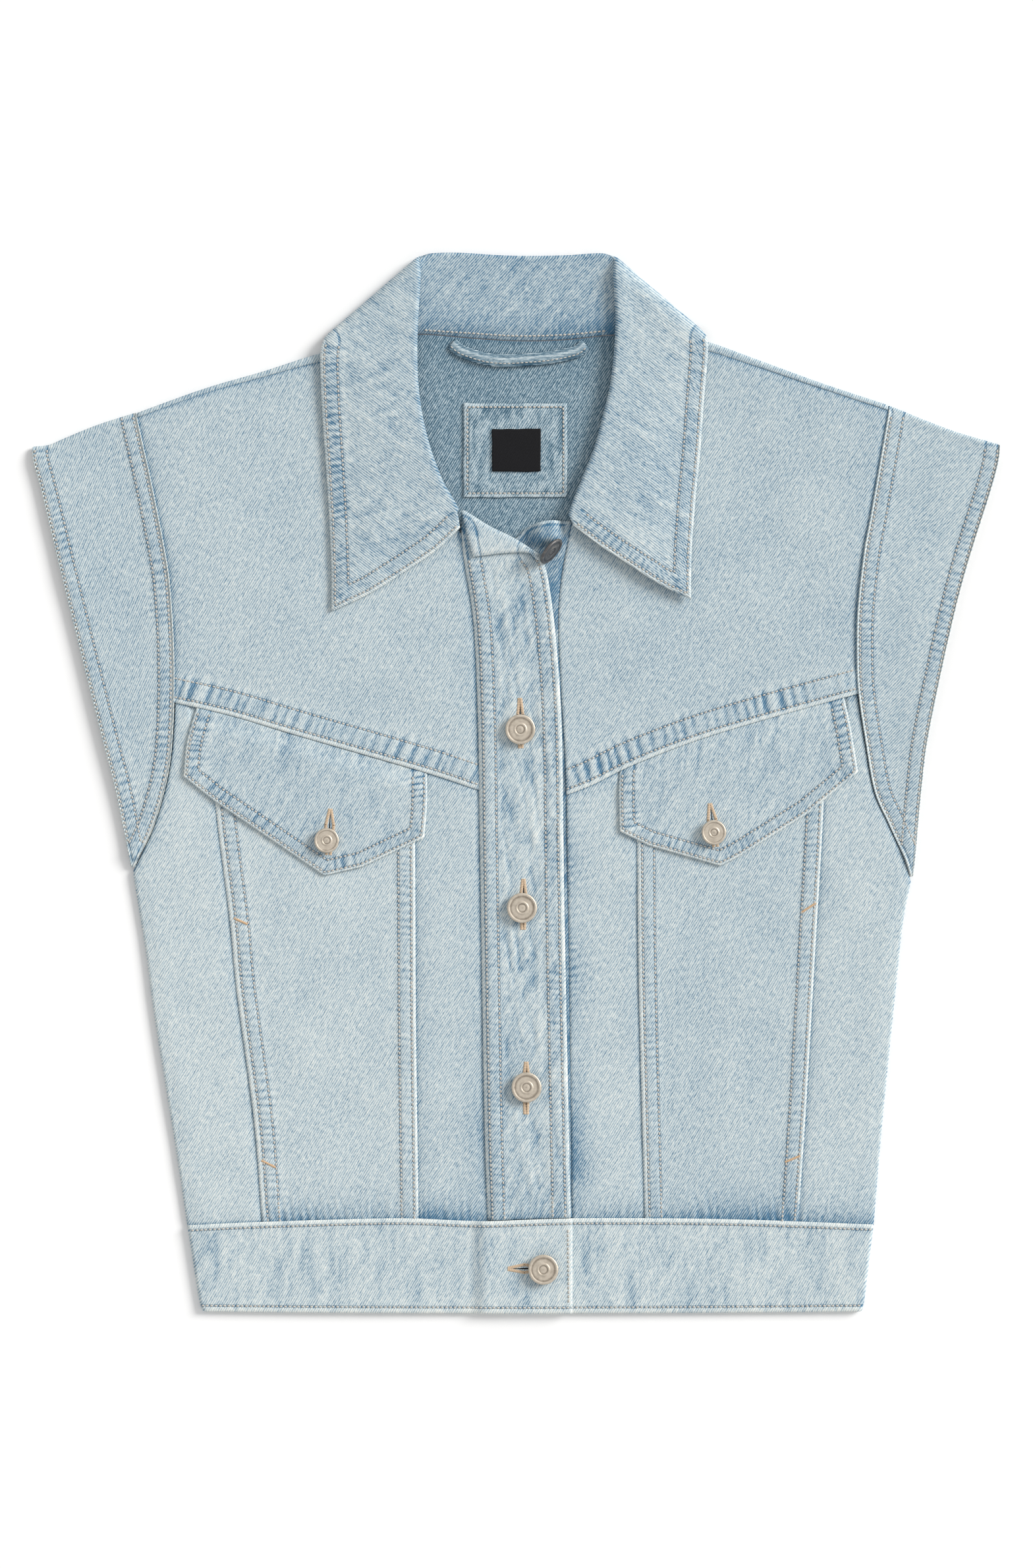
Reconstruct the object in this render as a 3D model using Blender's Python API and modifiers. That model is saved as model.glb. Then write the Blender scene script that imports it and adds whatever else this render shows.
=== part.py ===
"""A cropped denim vest with cap sleeves, laid flat with its front up.

The vest lies on its back in the plane z = 0, with the collar towards +Y and the
wearer's left side at +X. Every cloth piece is one closed wall. Its plan comes from the
seam lines below, and its height from the layers that it lies on.
"""
import math

import bmesh
import bpy
import numpy as np
from mathutils import Matrix, Vector

MM = 0.001

# Cloth, in millimetres
CLOTH = 1.4            # one ply of denim with its finish
PLY2 = 1.8             # two plies pressed together
SEAM_GAP = 0.36        # free space between two pieces along a seam
LAYER_GAP = 0.3        # free space between two layers that lie on each other
BACK_Z = CLOTH / 2     # middle of the back layer's wall
FRONT_Z = 3.1          # middle of the front layer's wall
UNDER_Z = CLOTH + LAYER_GAP + PLY2 / 2       # middle of the under placket
TOP_Z = UNDER_Z + PLY2 + LAYER_GAP           # middle of the top placket
FLAP_RISE = (CLOTH + PLY2) / 2 + LAYER_GAP   # flap over the panel it lies on

# Seam lines seen from above, in millimetres: rows of x, y
ARMHOLE_L = [(-214, 208), (-210, 190), (-205.5, 170), (-197.5, 129.5), (-194.5, 107), (-192.5, 70),
             (-193, 32.5), (-196, 4.5), (-203.5, -23), (-212, -42), (-216, -50)]
ARMHOLE_R = [(210, 209), (207.5, 194.5), (200, 151.5), (196, 129.5), (192.5, 97.5), (192, 70), (193, 50),
             (197, 23), (202, -4.5), (210, -23), (218.5, -42), (223, -55.5)]
SIDE_L = [(-216, -50), (-214.5, -60.5), (-208.5, -97.5), (-203.5, -135), (-191.5, -209), (-185.5, -249.5)]
SIDE_R = [(223, -55.5), (218.5, -79), (214.5, -116), (207, -190.5), (202, -249)]
SLEEVE_HEM_L = [(-273, 189), (-272.5, 181.5), (-267.5, 163), (-254, 107), (-235.5, 32.5), (-226, -4.5),
                (-218, -44)]
SLEEVE_HEM_R = [(273.5, 191), (272.5, 181.5), (268, 164.5), (250.5, 107), (234, 32.5), (229, -4.5),
                (225.5, -49)]
SLEEVE_TOP_L = [(-274, 189.5), (-263.5, 190.5), (-254, 194.5), (-235.5, 202), (-212, 209.5)]
SLEEVE_TOP_R = [(210, 213), (229.5, 205), (248, 198), (266.5, 192.5), (275, 190)]
SHOULDER_FOLD_L = [(-214, 208.5), (-175, 222.5), (-142.5, 232), (-114.5, 241), (-92, 246.5), (-72, 248)]
SHOULDER_FOLD_R = [(72, 251), (90, 251), (107, 249), (136.5, 238.5), (173.5, 225), (210, 213)]
SHOULDER_SEAM_L = [(-214, 205.8), (-175, 219.6), (-142.5, 228.8), (-114.5, 236.5), (-92, 241), (-70, 243)]
SHOULDER_SEAM_R = [(70, 242.6), (88, 244.8), (107, 243.6), (136.5, 234.5), (173.5, 222), (210, 210)]
NECK_BACK = [(-74, 243.5), (-65, 249), (-53, 252.6), (-26, 250.6), (1, 249), (28, 249.6), (53, 252.2),
             (65, 251), (74, 246)]
NECK_FRONT_L = [(-71.5, 245), (-70.5, 236), (-68, 218), (-60.5, 195), (-50.5, 171), (-42, 154), (-37, 145)]
NECK_FRONT_R = [(72.5, 247), (71, 238), (67.5, 216), (57.5, 190), (48, 168), (42, 154), (38.5, 148)]
YOKE_SEAM_L = [(-196, 46), (-161, 38), (-124, 27), (-51.5, 6), (-20, -4.5)]
YOKE_SEAM_R = [(27, -7.5), (43.5, -1), (66, 10), (99.5, 23), (136.5, 34.5), (196, 51)]
OUTER_SEAM_L = [(-173, 42), (-169.5, -11), (-161, -79), (-157.5, -116), (-147.5, -190.5), (-143, -249)]
OUTER_SEAM_R = [(174.5, 47), (173.5, -10), (168.5, -97.5), (163.5, -183), (159, -249)]
INNER_SEAM_L = [(-58, 8), (-57, -34.5), (-56.5, -135), (-55, -249)]
INNER_SEAM_R = [(67.5, 11), (68.5, -34.5), (69.5, -116), (73, -249)]
TOP_PLACKET_SEAM = [(-32, 141), (-29, 122), (-24, 88.5), (-21.5, 32.5), (-20.5, -34.5), (-18, -183),
                    (-16, -249)]
TOP_PLACKET_EDGE = [(11, 131), (16.5, 122), (20.5, 99.5), (23.5, 70), (26, 25), (27, -49.5), (28.5, -131),
                    (31, -249)]
UNDER_PLACKET_SEAM = [(32, 146), (27, 122), (24.5, 99.5), (24.5, 77), (26, 47.5), (28.5, 3), (30, -86.5),
                      (32, -249)]
UNDER_PLACKET_NECK = [(-16, 136), (-1, 137.5), (6.5, 144), (17.5, 147.5), (32, 147.5)]
PLACKET_FOLD = [(-32, 156), (-16, 146), (-1, 138.5), (13, 129.5)]
PLACKET_TURNED = [(-25, 127.5), (-8.5, 129.5), (4, 130), (14, 128)]
WAIST_SEAM = [(-186, -249.5), (-142.5, -247.5), (-68, -245.5), (-20, -247), (32, -245.5), (118, -246),
              (202, -249)]
HEM = [(-190, -298), (-105.5, -298.8), (0, -299.2), (118, -298.8), (205, -298)]
WAIST_SIDE_L = [(-185.5, -249), (-183, -265), (-179, -290), (-176.5, -299)]
WAIST_SIDE_R = [(202, -249), (200, -265), (197, -290), (195, -299)]
FLAP_SIDE_OUT_L = [(-180, 43), (-185.5, 23), (-187.5, 3.5)]
FLAP_SIDE_IN_L = [(-50, 8), (-50, -12), (-51.5, -31)]
FLAP_SIDE_IN_R = [(58.5, 9), (58, -4.5), (58.5, -27.5)]
FLAP_SIDE_OUT_R = [(185, 49), (189, 30), (193, 6)]

# A flap's lower edge has straight runs between corners: rows of x, y
FLAP_POINT_L = [(-187.5, 3.5), (-170.5, -10), (-133, -35.5), (-108, -52.5), (-86.5, -47.5), (-51.5, -31)]
FLAP_POINT_R = [(58.5, -27.5), (75, -35.5), (115.5, -47), (127, -41), (164.5, -17.5), (193, 6)]

# Collar sections from the left front end round the back to the right front end, in
# millimetres: neck seam, roll line and outer edge, each x, y, z, then the direction that
# the roll turns towards and the side of the stand that the leaf lies on, as angles
# (0 is +X for the first, and 90 is upward for the second)
COLLAR = [
    # neck x, y, z          roll x, y, z          edge x, y, z           roll to, leaf side
    (-36, 147, 3.7,         -32.2, 154.5, 6.6,    -31.8, 143.4, 6.6,     60,      90),
    (-42, 157, 3.7,         -35.5, 160.5, 6.8,    -45, 131, 5.6,         42,      90),
    (-47.5, 167, 3.7,       -40.5, 169, 7.4,      -62, 119.5, 5.3,       33,      90),
    (-53, 180, 3.7,         -45, 180, 7.4,        -82, 107, 5.2,         25,      90),
    (-58.5, 193, 3.7,       -49, 192, 7.4,        -103.8, 96.8, 5.3,     18,      90),
    (-62.5, 206, 3.6,       -52.5, 207, 7.4,      -103.8, 120, 5.3,      10,      90),
    (-66, 219, 3.6,         -54.8, 224, 7.4,      -105, 150, 5.4,        5,       90),
    (-68, 229, 3.5,         -55.4, 242, 7.4,      -107, 182, 5.4,        2,       90),
    (-68.9, 237, 3.5,       -55, 260, 7.4,        -109, 212, 5.6,        0,       90),
    (-69.1, 241.5, 3.5,     -54, 276, 7.4,        -109.8, 234, 6.4,      5,       90),
    (-69.3, 244, 3.4,       -53.6, 286.6, 7.3,    -109.6, 243, 6.9,      15,      95),
    (-70.1, 245.4, 2.9,     -54.2, 292, 6.4,      -108.6, 248.2, 6.1,    30,      130),
    (-70.5, 246.6, 2.2,     -54, 295.4, 4.5,      -106.4, 251.6, 4.3,    48,      180),
    (-70.2, 247.9, 1.6,     -51.1, 297.4, 2.7,    -103, 254.4, 2.5,      66,      225),
    (-69, 249.2, 1.2,       -47.4, 298.6, 2.1,    -98, 256.8, 1.2,       82,      262),
    (-65, 250.5, 1.1,       -38, 299, 1.8,        -84, 258, 0.9,         90,      270),
    (-53, 253.6, 1.1,       -28, 298.8, 1.8,      -57, 259.5, 0.9,       90,      270),
    (-26, 251.6, 1.1,       -14, 297.8, 1.8,      -28, 258.5, 0.9,       90,      270),
    (1, 250, 1.1,           1, 297.2, 1.8,        0, 258, 0.75,          90,      270),
    (28, 250.6, 1.1,        16, 297.2, 1.8,       28, 258.5, 0.9,        90,      270),
    (53, 253.2, 1.1,        30, 297.6, 1.8,       57, 259.5, 0.9,        90,      270),
    (65, 252, 1.1,          41, 298.4, 1.8,       84, 260, 0.9,          90,      270),
    (69.6, 250.6, 1.2,      48.5, 298.6, 2.1,     97.5, 258.4, 1.2,      98,      278),
    (70.8, 249.4, 1.6,      52.3, 297.4, 2.7,     102.6, 256.2, 2.5,     114,     315),
    (71.2, 248.2, 2.2,      55.2, 295.4, 4.5,     105.6, 253.6, 4.3,     132,     360),
    (70.9, 247, 2.9,        55.4, 292, 6.4,       107.4, 250.4, 6.1,     150,     410),
    (70.2, 245.6, 3.4,      54.8, 286.6, 7.3,     108, 245, 6.9,         165,     445),
    (69.8, 243, 3.5,        55.4, 276, 7.4,       107.4, 236, 6.4,       175,     450),
    (69.2, 238, 3.5,        56, 260, 7.4,         105.6, 214, 5.6,       180,     450),
    (67.5, 229, 3.5,        55.2, 242, 7.4,       103.6, 186, 5.4,       178,     450),
    (65, 216, 3.6,          53, 224, 7.4,         101, 160, 5.6,         173,     450),
    (60.5, 204, 3.6,        49, 207, 7.4,         98.8, 130, 6.2,        168,     450),
    (55.5, 190.5, 3.7,      44.5, 190, 7.4,       98.4, 103.4, 6.9,      160,     450),
    (50, 177, 3.7,          39.5, 177, 7.4,       80, 112.5, 8.2,        152,     450),
    (44.5, 165, 3.7,        35, 166, 7.5,         62, 124, 8.6,          143,     450),
    (39.8, 156, 3.7,        31.5, 157, 7.5,       46, 134.6, 8.4,        130,     450),
    (36.5, 150, 3.7,        29.9, 151, 7.4,       32.4, 145.2, 7.6,      118,     450),
]
COLLAR_CLOTH = 1.5
ROLL_RADIUS_FRONT = 1.5
ROLL_RADIUS_BACK = 1.05
STAND_SHARES = [0.0, 0.16, 0.55]
ROLL_ROWS = 5
LEAF_ROWS = 6

# Folded sleeve and waistband: half the distance between the two layers' middles
SLEEVE_TURN = (FRONT_Z - BACK_Z) / 2
BAND_BACK_Z = PLY2 / 2
BAND_FRONT_Z = 3.3
BAND_TURN = (BAND_FRONT_Z - BAND_BACK_Z) / 2
BAND_LAP_Z = BAND_FRONT_Z + PLY2 + LAYER_GAP
BAND_TOP_END_X = 32.0
BAND_UNDER_END_X = -12.0

# Inside the neck: the loop's middle line, the patch and the label, in millimetres
LOOP_LINE = [(-36, 247.5), (-31, 243.5), (-19.5, 239.5), (-8.5, 238), (6.5, 238.5), (21, 240), (34, 243),
             (39, 247)]
LOOP_WIDTH = 7.0
LOOP_CLOTH = 1.5
PATCH = dict(left=-29.5, right=29, top=214, bottom=161, cloth=1.0)
LABEL = dict(left=-13.5, right=14, top=199.5, bottom=175.5, cloth=1.0)

# Buttons: rows of name, x, y, radius, what the button lies on
BUTTONS = [
    ("button_upper", 2.5, 30, 8.5, "placket"),
    ("button_middle", 3.5, -70.5, 8.5, "placket"),
    ("button_lower", 6, -171.5, 8.5, "placket"),
    ("button_waistband", 15.5, -274, 8.5, "waistband"),
    ("button_flap_left", -106.5, -32.5, 7.0, "flap"),
    ("button_flap_right", 111.5, -28, 7.0, "flap"),
]
BUTTON_SIDES = 18
SHANK_HEIGHT = 1.2
NECK_BUTTON = dict(x=19.4, y=130.5, z=11.24, radius=8.5, tilt=62.0, face_to=-48.0)
# The ridge of cloth behind that button: its place and height, how it drops towards the button's
# face and rises from the placket's fold, and the x between which it comes and goes
NECK_RIDGE = dict(x=17.0, y=132.2, height=6.9, rise=4.6, drop=5.0, set_back=2.6, slant=0.85,
                  comes=(4, 15), goes=(20, 27))

COLOURS = dict(
    denim=(0.52, 0.60, 0.64), inside=(0.27, 0.36, 0.42), label=(0.02, 0.02, 0.02), metal=(0.52, 0.47, 0.41))


def clear_scene():
    for old in list(bpy.data.objects):
        bpy.data.objects.remove(old, do_unlink=True)


def vest_collection():
    group = bpy.data.collections.new("denim_vest")
    bpy.context.scene.collection.children.link(group)
    return group


def finish_for(name, colour, roughness, metallic=0.0):
    finish = bpy.data.materials.new(name)
    finish.use_nodes = True
    shader = finish.node_tree.nodes["Principled BSDF"]
    shader.inputs["Base Color"].default_value = (*COLOURS[colour], 1.0)
    shader.inputs["Roughness"].default_value = roughness
    shader.inputs["Metallic"].default_value = metallic
    return finish


def smooth_points(rows, steps=12):
    """Points on a Catmull-Rom curve through the rows of x, y."""
    knots = np.array([rows[0]] + list(rows) + [rows[-1]], dtype=float)
    knots[0] = 2 * knots[1] - knots[2]
    knots[-1] = 2 * knots[-2] - knots[-3]
    points = []
    for i in range(1, len(knots) - 2):
        a, b, c, d = knots[i - 1:i + 3]
        for k in range(steps):
            t = k / steps
            points.append(0.5 * (2 * b + (c - a) * t + (2 * a - 5 * b + 4 * c - d) * t * t
                                 + (3 * b - a - 3 * c + d) * t ** 3))
    points.append(knots[-2])
    return np.array(points)


class Across:
    """A seam that runs from side to side: its y for any x."""

    def __init__(self, rows, straight=False):
        points = np.array(rows, dtype=float) if straight else smooth_points(rows)
        self.x, self.y = points[:, 0], points[:, 1]

    def __call__(self, x):
        return float(np.interp(x, self.x, self.y))


class Along:
    """A seam that runs up and down: its x for any y."""

    def __init__(self, *tables):
        points = np.vstack([smooth_points(rows) for rows in tables])
        points = points[np.argsort(points[:, 1], kind="stable")]
        self.x, self.y = points[:, 0], points[:, 1]

    def __call__(self, y):
        return float(np.interp(y, self.y, self.x))


def in_panel(left, right, bottom, top, u, v, inset=SEAM_GAP / 2):
    """The plan point at share u from left to right and share v from bottom to top."""
    y = 0.5 * (bottom(0.0) + top(0.0))
    x = 0.0
    for _ in range(12):
        x_left, x_right = left(y) + inset, right(y) - inset
        x = x_left + (x_right - x_left) * u
        y_low, y_high = bottom(x) + inset, top(x) - inset
        y = y_low + (y_high - y_low) * v
    return x, y


def ramp(value, start, stop):
    """0 before start, 1 after stop, and a smooth rise between them."""
    t = min(1.0, max(0.0, (value - start) / (stop - start)))
    return t * t * (3 - 2 * t)


def front_height(x, y):
    """Middle of the front layer: a soft swell that sinks towards the sides."""
    edge = min(x - outline_left(y), outline_right(y) - x)
    swell = FRONT_SWELL * math.sin(math.pi * ramp(y, -250, 210)) * ramp(edge, 10, 90)
    sink = FRONT_SINK * (1 - ramp(edge, 0, 9)) * (1 - ramp(y, -62, -44))
    return FRONT_Z + swell - sink


def cloth_sheet(name, points, thickness, finish, group, closed=False, even=True):
    """A wall of the given thickness about a grid of middle points, in millimetres.

    points[row][column] is seen from above with columns to the right and rows upward.
    closed joins the last row to the first, for a sleeve.
    """
    rows, columns = len(points), len(points[0])
    build = bmesh.new()
    bmesh.ops.create_grid(build, x_segments=columns - 1, y_segments=rows - 1, size=0.5)
    for vertex in build.verts:
        column = round((vertex.co.x + 0.5) * (columns - 1))
        row = round((vertex.co.y + 0.5) * (rows - 1))
        vertex.co = Vector(points[row][column]) * MM
    if closed:
        bmesh.ops.remove_doubles(build, verts=build.verts, dist=1e-6)
    mesh = bpy.data.meshes.new(name)
    build.to_mesh(mesh)
    build.free()
    sheet = bpy.data.objects.new(name, mesh)
    group.objects.link(sheet)
    mesh.materials.append(finish)
    wall = sheet.modifiers.new("wall", "SOLIDIFY")
    wall.thickness = thickness * MM
    wall.offset = 0.0
    wall.use_even_offset = even
    wall.use_quality_normals = True
    mesh.shade_smooth()
    return sheet


def evenly(count):
    return [k / (count - 1) for k in range(count)]


def shares_of(stations, low, high):
    """The stations as shares of the way from low to high, with both ends."""
    inner = [(y - low) / (high - low) for y in stations if low + 4 < y < high - 4]
    return [0.0] + inner + [1.0]


def panel_points(left, right, bottom, top, across, up, height):
    """Middle points of a panel between four seams, at the shares across and up."""
    grid = []
    for v in up:
        plan = [in_panel(left, right, bottom, top, u, v) for u in across]
        grid.append([(x, y, height(x, y)) for x, y in plan])
    return grid


armhole_l, armhole_r = Along(ARMHOLE_L), Along(ARMHOLE_R)
outline_left, outline_right = Along(ARMHOLE_L, SIDE_L), Along(ARMHOLE_R, SIDE_R)
yoke_seam_l, yoke_seam_r = Across(YOKE_SEAM_L), Across(YOKE_SEAM_R)
waist_seam, hem = Across(WAIST_SEAM), Across(HEM)
under_neck, placket_fold = Across(UNDER_PLACKET_NECK), Across(PLACKET_FOLD)
top_seam, top_edge = Along(TOP_PLACKET_SEAM), Along(TOP_PLACKET_EDGE)
under_seam = Along(UNDER_PLACKET_SEAM)
outer_l, outer_r = Along(OUTER_SEAM_L), Along(OUTER_SEAM_R)
inner_l, inner_r = Along(INNER_SEAM_L), Along(INNER_SEAM_R)

# Heights at which the pieces on both sides of an armhole and side seam have their points
STATIONS_L = [-200, -150, -105, -70, -50, -42, -32, -21, -9, 4, 18, 32, 46, 58, 70, 84, 98, 114, 130, 147,
              164, 176, 188, 198]
STATIONS_R = [-200, -150, -108, -76, -56, -47, -37, -26, -13, 1, 16, 32, 50, 61, 72, 86, 100, 115, 131, 148,
              165, 178, 190, 201]

# Extra points up the yokes where the collar leaves the neck seam, as shares of a yoke's height
YOKE_NECK_SHARES_L = [0.57, 0.61, 0.69]
YOKE_NECK_SHARES_R = [0.57, 0.59, 0.63, 0.66, 0.69]

# The back's columns, as x at the shoulders: closer together where the fold ends
BACK_COLUMNS = [-213.4, -194, -175, -150, -128, -110, -96, -86, -81, -77.5, -74, -65, -53, -30,
                0, 30, 53, 65, 74, 77.5, 81, 86, 96, 110, 128, 150, 175, 192, 209.6]
FOLD_STEPS = 4
FOLD_FROM, FOLD_WHOLE = 74, 81     # distances from x = 0 where the fold starts and where it is whole
SPREAD_FROM = 60                   # the back's rows above this y are spread to meet the fold

# Shares of a placket's width and length at which its points lie: closer at the neck
UNDER_PLACKET_ACROSS = [0, 0.25, 0.5, 0.6, 0.68, 0.76, 0.84, 0.92, 1]
UNDER_PLACKET_UPS = [0, 0.1, 0.2, 0.3, 0.4, 0.5, 0.6, 0.68, 0.76, 0.83, 0.88, 0.915, 0.938, 0.952, 0.962,
                     0.971, 0.979, 0.987, 0.994, 1]
TOP_PLACKET_ACROSS = [0, 0.07, 0.14, 0.38, 0.6, 0.82, 1]
TOP_PLACKET_UPS = [0, 0.08, 0.16, 0.24, 0.32, 0.4, 0.48, 0.56, 0.64, 0.71, 0.77, 0.82, 0.86, 0.9, 0.93,
                   0.96, 0.98, 1]
SLEEVE_COLUMNS = 5
SLEEVE_SWELL = 0.7
SLEEVE_PULL = 1.3                  # how far a sleeve's front draws in at the underarm fold
FRONT_SWELL, FRONT_SINK = 0.35, 0.5
PLACKET_INSET = 5.5                # the under placket starts this far right of the top placket's seam
PLACKET_NECK_INSET = 0.6           # and ends this far short of its own seam at the neck
PLACKET_LIFT = 0.2
SLEEVE_LOW_L = [(-222, -41.6), (-212, -44.4)]
SLEEVE_LOW_R = [(216, -50.4), (229, -47)]
HEM_MIDDLE_Y = -274.0
FOLD_RADIUS = SLEEVE_TURN


def build_back(finish, group):
    """The back, which turns over the shoulders and runs forward to the shoulder seams."""
    folds = (Across(SHOULDER_FOLD_L), Across(SHOULDER_FOLD_R))
    seams = (Across(SHOULDER_SEAM_L), Across(SHOULDER_SEAM_R))
    neck = Across(NECK_BACK)
    arc = math.pi * FOLD_RADIUS
    first, last = BACK_COLUMNS[0], BACK_COLUMNS[-1]
    waist_left, waist_right = WAIST_SEAM[0][0], WAIST_SEAM[-1][0]
    columns = []
    for x in BACK_COLUMNS:
        share = (x - first) / (last - first)
        turned = ramp(abs(x), FOLD_FROM, FOLD_WHOLE)
        bend = math.pi * turned
        side = 0 if x < 0 else 1
        start_folded = folds[side](x) - FOLD_RADIUS - CLOTH / 2
        strip = max(0.4, start_folded - seams[side](x) - SEAM_GAP / 2)
        start_flat = neck(x) - arc - 1.0 - SEAM_GAP
        start = start_flat + (start_folded - start_flat) * turned
        run = 1.0 + (strip - 1.0) * turned
        low = waist_seam(waist_left + (waist_right - waist_left) * share) + SEAM_GAP
        levels = [left_y + (right_y - left_y) * share for left_y, right_y in zip(STATIONS_L, STATIONS_R)]
        top_level = levels[-1]
        plan = []
        for y in [low] + levels[:-1]:
            y += (start - top_level) * ramp(y, SPREAD_FROM, top_level)
            x_left, x_right = outline_left(y) + SEAM_GAP / 2, outline_right(y) - SEAM_GAP / 2
            plan.append((x_left + (x_right - x_left) * share, y, BACK_Z))
        plan.append((x, start, BACK_Z))
        for k in range(1, FOLD_STEPS + 1):
            angle = bend * k / FOLD_STEPS
            if bend > 0.01:
                ahead = arc / bend * math.sin(angle)
                rise = arc / bend * (1 - math.cos(angle))
            else:
                ahead, rise = arc * k / FOLD_STEPS, 0.0
            plan.append((x, start + ahead, BACK_Z + rise))
        px, py, pz = plan[-1]
        plan.append((px, py + run * math.cos(bend), pz + run * math.sin(bend) * 0.3))
        columns.append(plan)
    points = [[column[row] for column in columns] for row in range(len(columns[0]))]
    return cloth_sheet("back_panel", points, CLOTH, finish, group)


def build_fronts(finish, group):
    """Yokes and the three lower panels of each front."""
    yoke_top_l, yoke_top_r = Across(SHOULDER_SEAM_L), Across(SHOULDER_SEAM_R)
    neck_edge_l = Along(TOP_PLACKET_SEAM, NECK_FRONT_L)
    neck_edge_r = Along(UNDER_PLACKET_SEAM, NECK_FRONT_R)
    yoke_up_l = sorted(shares_of(STATIONS_L, 45, 206.5) + YOKE_NECK_SHARES_L)
    yoke_up_r = sorted(shares_of(STATIONS_R, 50, 210) + YOKE_NECK_SHARES_R)
    side_up_l, side_up_r = shares_of(STATIONS_L, -249.3, 45), shares_of(STATIONS_R, -248.8, 50)
    # name, left, right, bottom, top, shares across, shares up
    layout = [
        ("yoke_left", armhole_l, neck_edge_l, yoke_seam_l, yoke_top_l, evenly(12), yoke_up_l),
        ("yoke_right", neck_edge_r, armhole_r, yoke_seam_r, yoke_top_r, evenly(12), yoke_up_r),
        ("side_panel_left", outline_left, outer_l, waist_seam, yoke_seam_l, evenly(5), side_up_l),
        ("pocket_panel_left", outer_l, inner_l, waist_seam, yoke_seam_l, evenly(7), evenly(12)),
        ("centre_front_left", inner_l, top_seam, waist_seam, yoke_seam_l, evenly(4), evenly(12)),
        ("centre_front_right", under_seam, inner_r, waist_seam, yoke_seam_r, evenly(4), evenly(12)),
        ("pocket_panel_right", inner_r, outer_r, waist_seam, yoke_seam_r, evenly(7), evenly(12)),
        ("side_panel_right", outer_r, outline_right, waist_seam, yoke_seam_r, evenly(5), side_up_r),
    ]
    for name, left, right, bottom, top, across, up in layout:
        points = panel_points(left, right, bottom, top, across, up, front_height)
        cloth_sheet(name, points, CLOTH, finish, group)


def build_sleeve(name, outer, inner, top, low, stations, finish, group):
    """A flat tube: front layer, shoulder fold, back layer and underarm fold."""
    hem_edge, armhole = Along(outer), Along(inner)
    top_fold, low_fold = Across(top), Across(low)
    on_left = outer[0][0] < inner[0][0]
    left, right = (hem_edge, armhole) if on_left else (armhole, hem_edge)
    inset = FOLD_RADIUS + CLOTH / 2

    def bottom_line(x):
        return low_fold(x) + inset

    def top_line(x):
        return top_fold(x) - inset

    seam_x = inner[0][0]
    ups = shares_of(stations, bottom_line(inner[-1][0]), top_line(seam_x))
    front, back = [], []
    for v in ups:
        inset_here = SEAM_GAP / 2 + SLEEVE_PULL * (1 - ramp(v, 0.0, 0.1))
        plan = [in_panel(left, right, bottom_line, top_line, u, v, inset_here)
                for u in evenly(SLEEVE_COLUMNS)]
        swell = SLEEVE_SWELL * math.sin(math.pi * v)
        front.append([(x, y, FRONT_Z + swell) for x, y in plan])
        back.append([(x, y, BACK_Z) for x, y in plan])
    middle = (FRONT_Z + BACK_Z) / 2

    def turn(line, way):
        steps = []
        for k in (1, 2, 3):
            angle = math.pi * k / 4
            steps.append([(x, y + way * FOLD_RADIUS * math.sin(angle),
                           middle + way * FOLD_RADIUS * math.cos(angle)) for x, y, _ in line])
        return steps

    loop = front + turn(front[-1], 1) + back[::-1] + turn(back[0], -1)
    loop.append(front[0])
    return cloth_sheet(name, loop, CLOTH, finish, group, closed=True)


def under_height(x, y):
    """The under placket lies on the back and stands up in a ridge behind the neck button."""
    facing = math.radians(NECK_BUTTON["face_to"])
    dx, dy = x - NECK_RIDGE["x"], y - NECK_RIDGE["y"]
    ahead = dx * math.cos(facing) + dy * math.sin(facing)
    past_fold = NECK_RIDGE["slant"] * (y - placket_fold(x)) - NECK_RIDGE["set_back"]
    ridge = (1 - ramp(ahead, 0, NECK_RIDGE["drop"])) * ramp(past_fold, 0, NECK_RIDGE["rise"])
    span = ramp(x, *NECK_RIDGE["comes"]) * (1 - ramp(x, *NECK_RIDGE["goes"]))
    return UNDER_Z + NECK_RIDGE["height"] * ridge * span


def build_under_placket(finish, group):
    def left_edge(y):
        return top_seam(y) + PLACKET_INSET

    def right_edge(y):
        return under_seam(y) - PLACKET_NECK_INSET * ramp(y, 122, 134)

    rows = []
    for v in UNDER_PLACKET_UPS:
        plan = [in_panel(left_edge, right_edge, waist_seam, under_neck, u, v)
                for u in UNDER_PLACKET_ACROSS]
        rows.append([(x, y, under_height(x, y)) for x, y in plan])
    return cloth_sheet("placket_under", rows, PLY2, finish, group)


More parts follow.
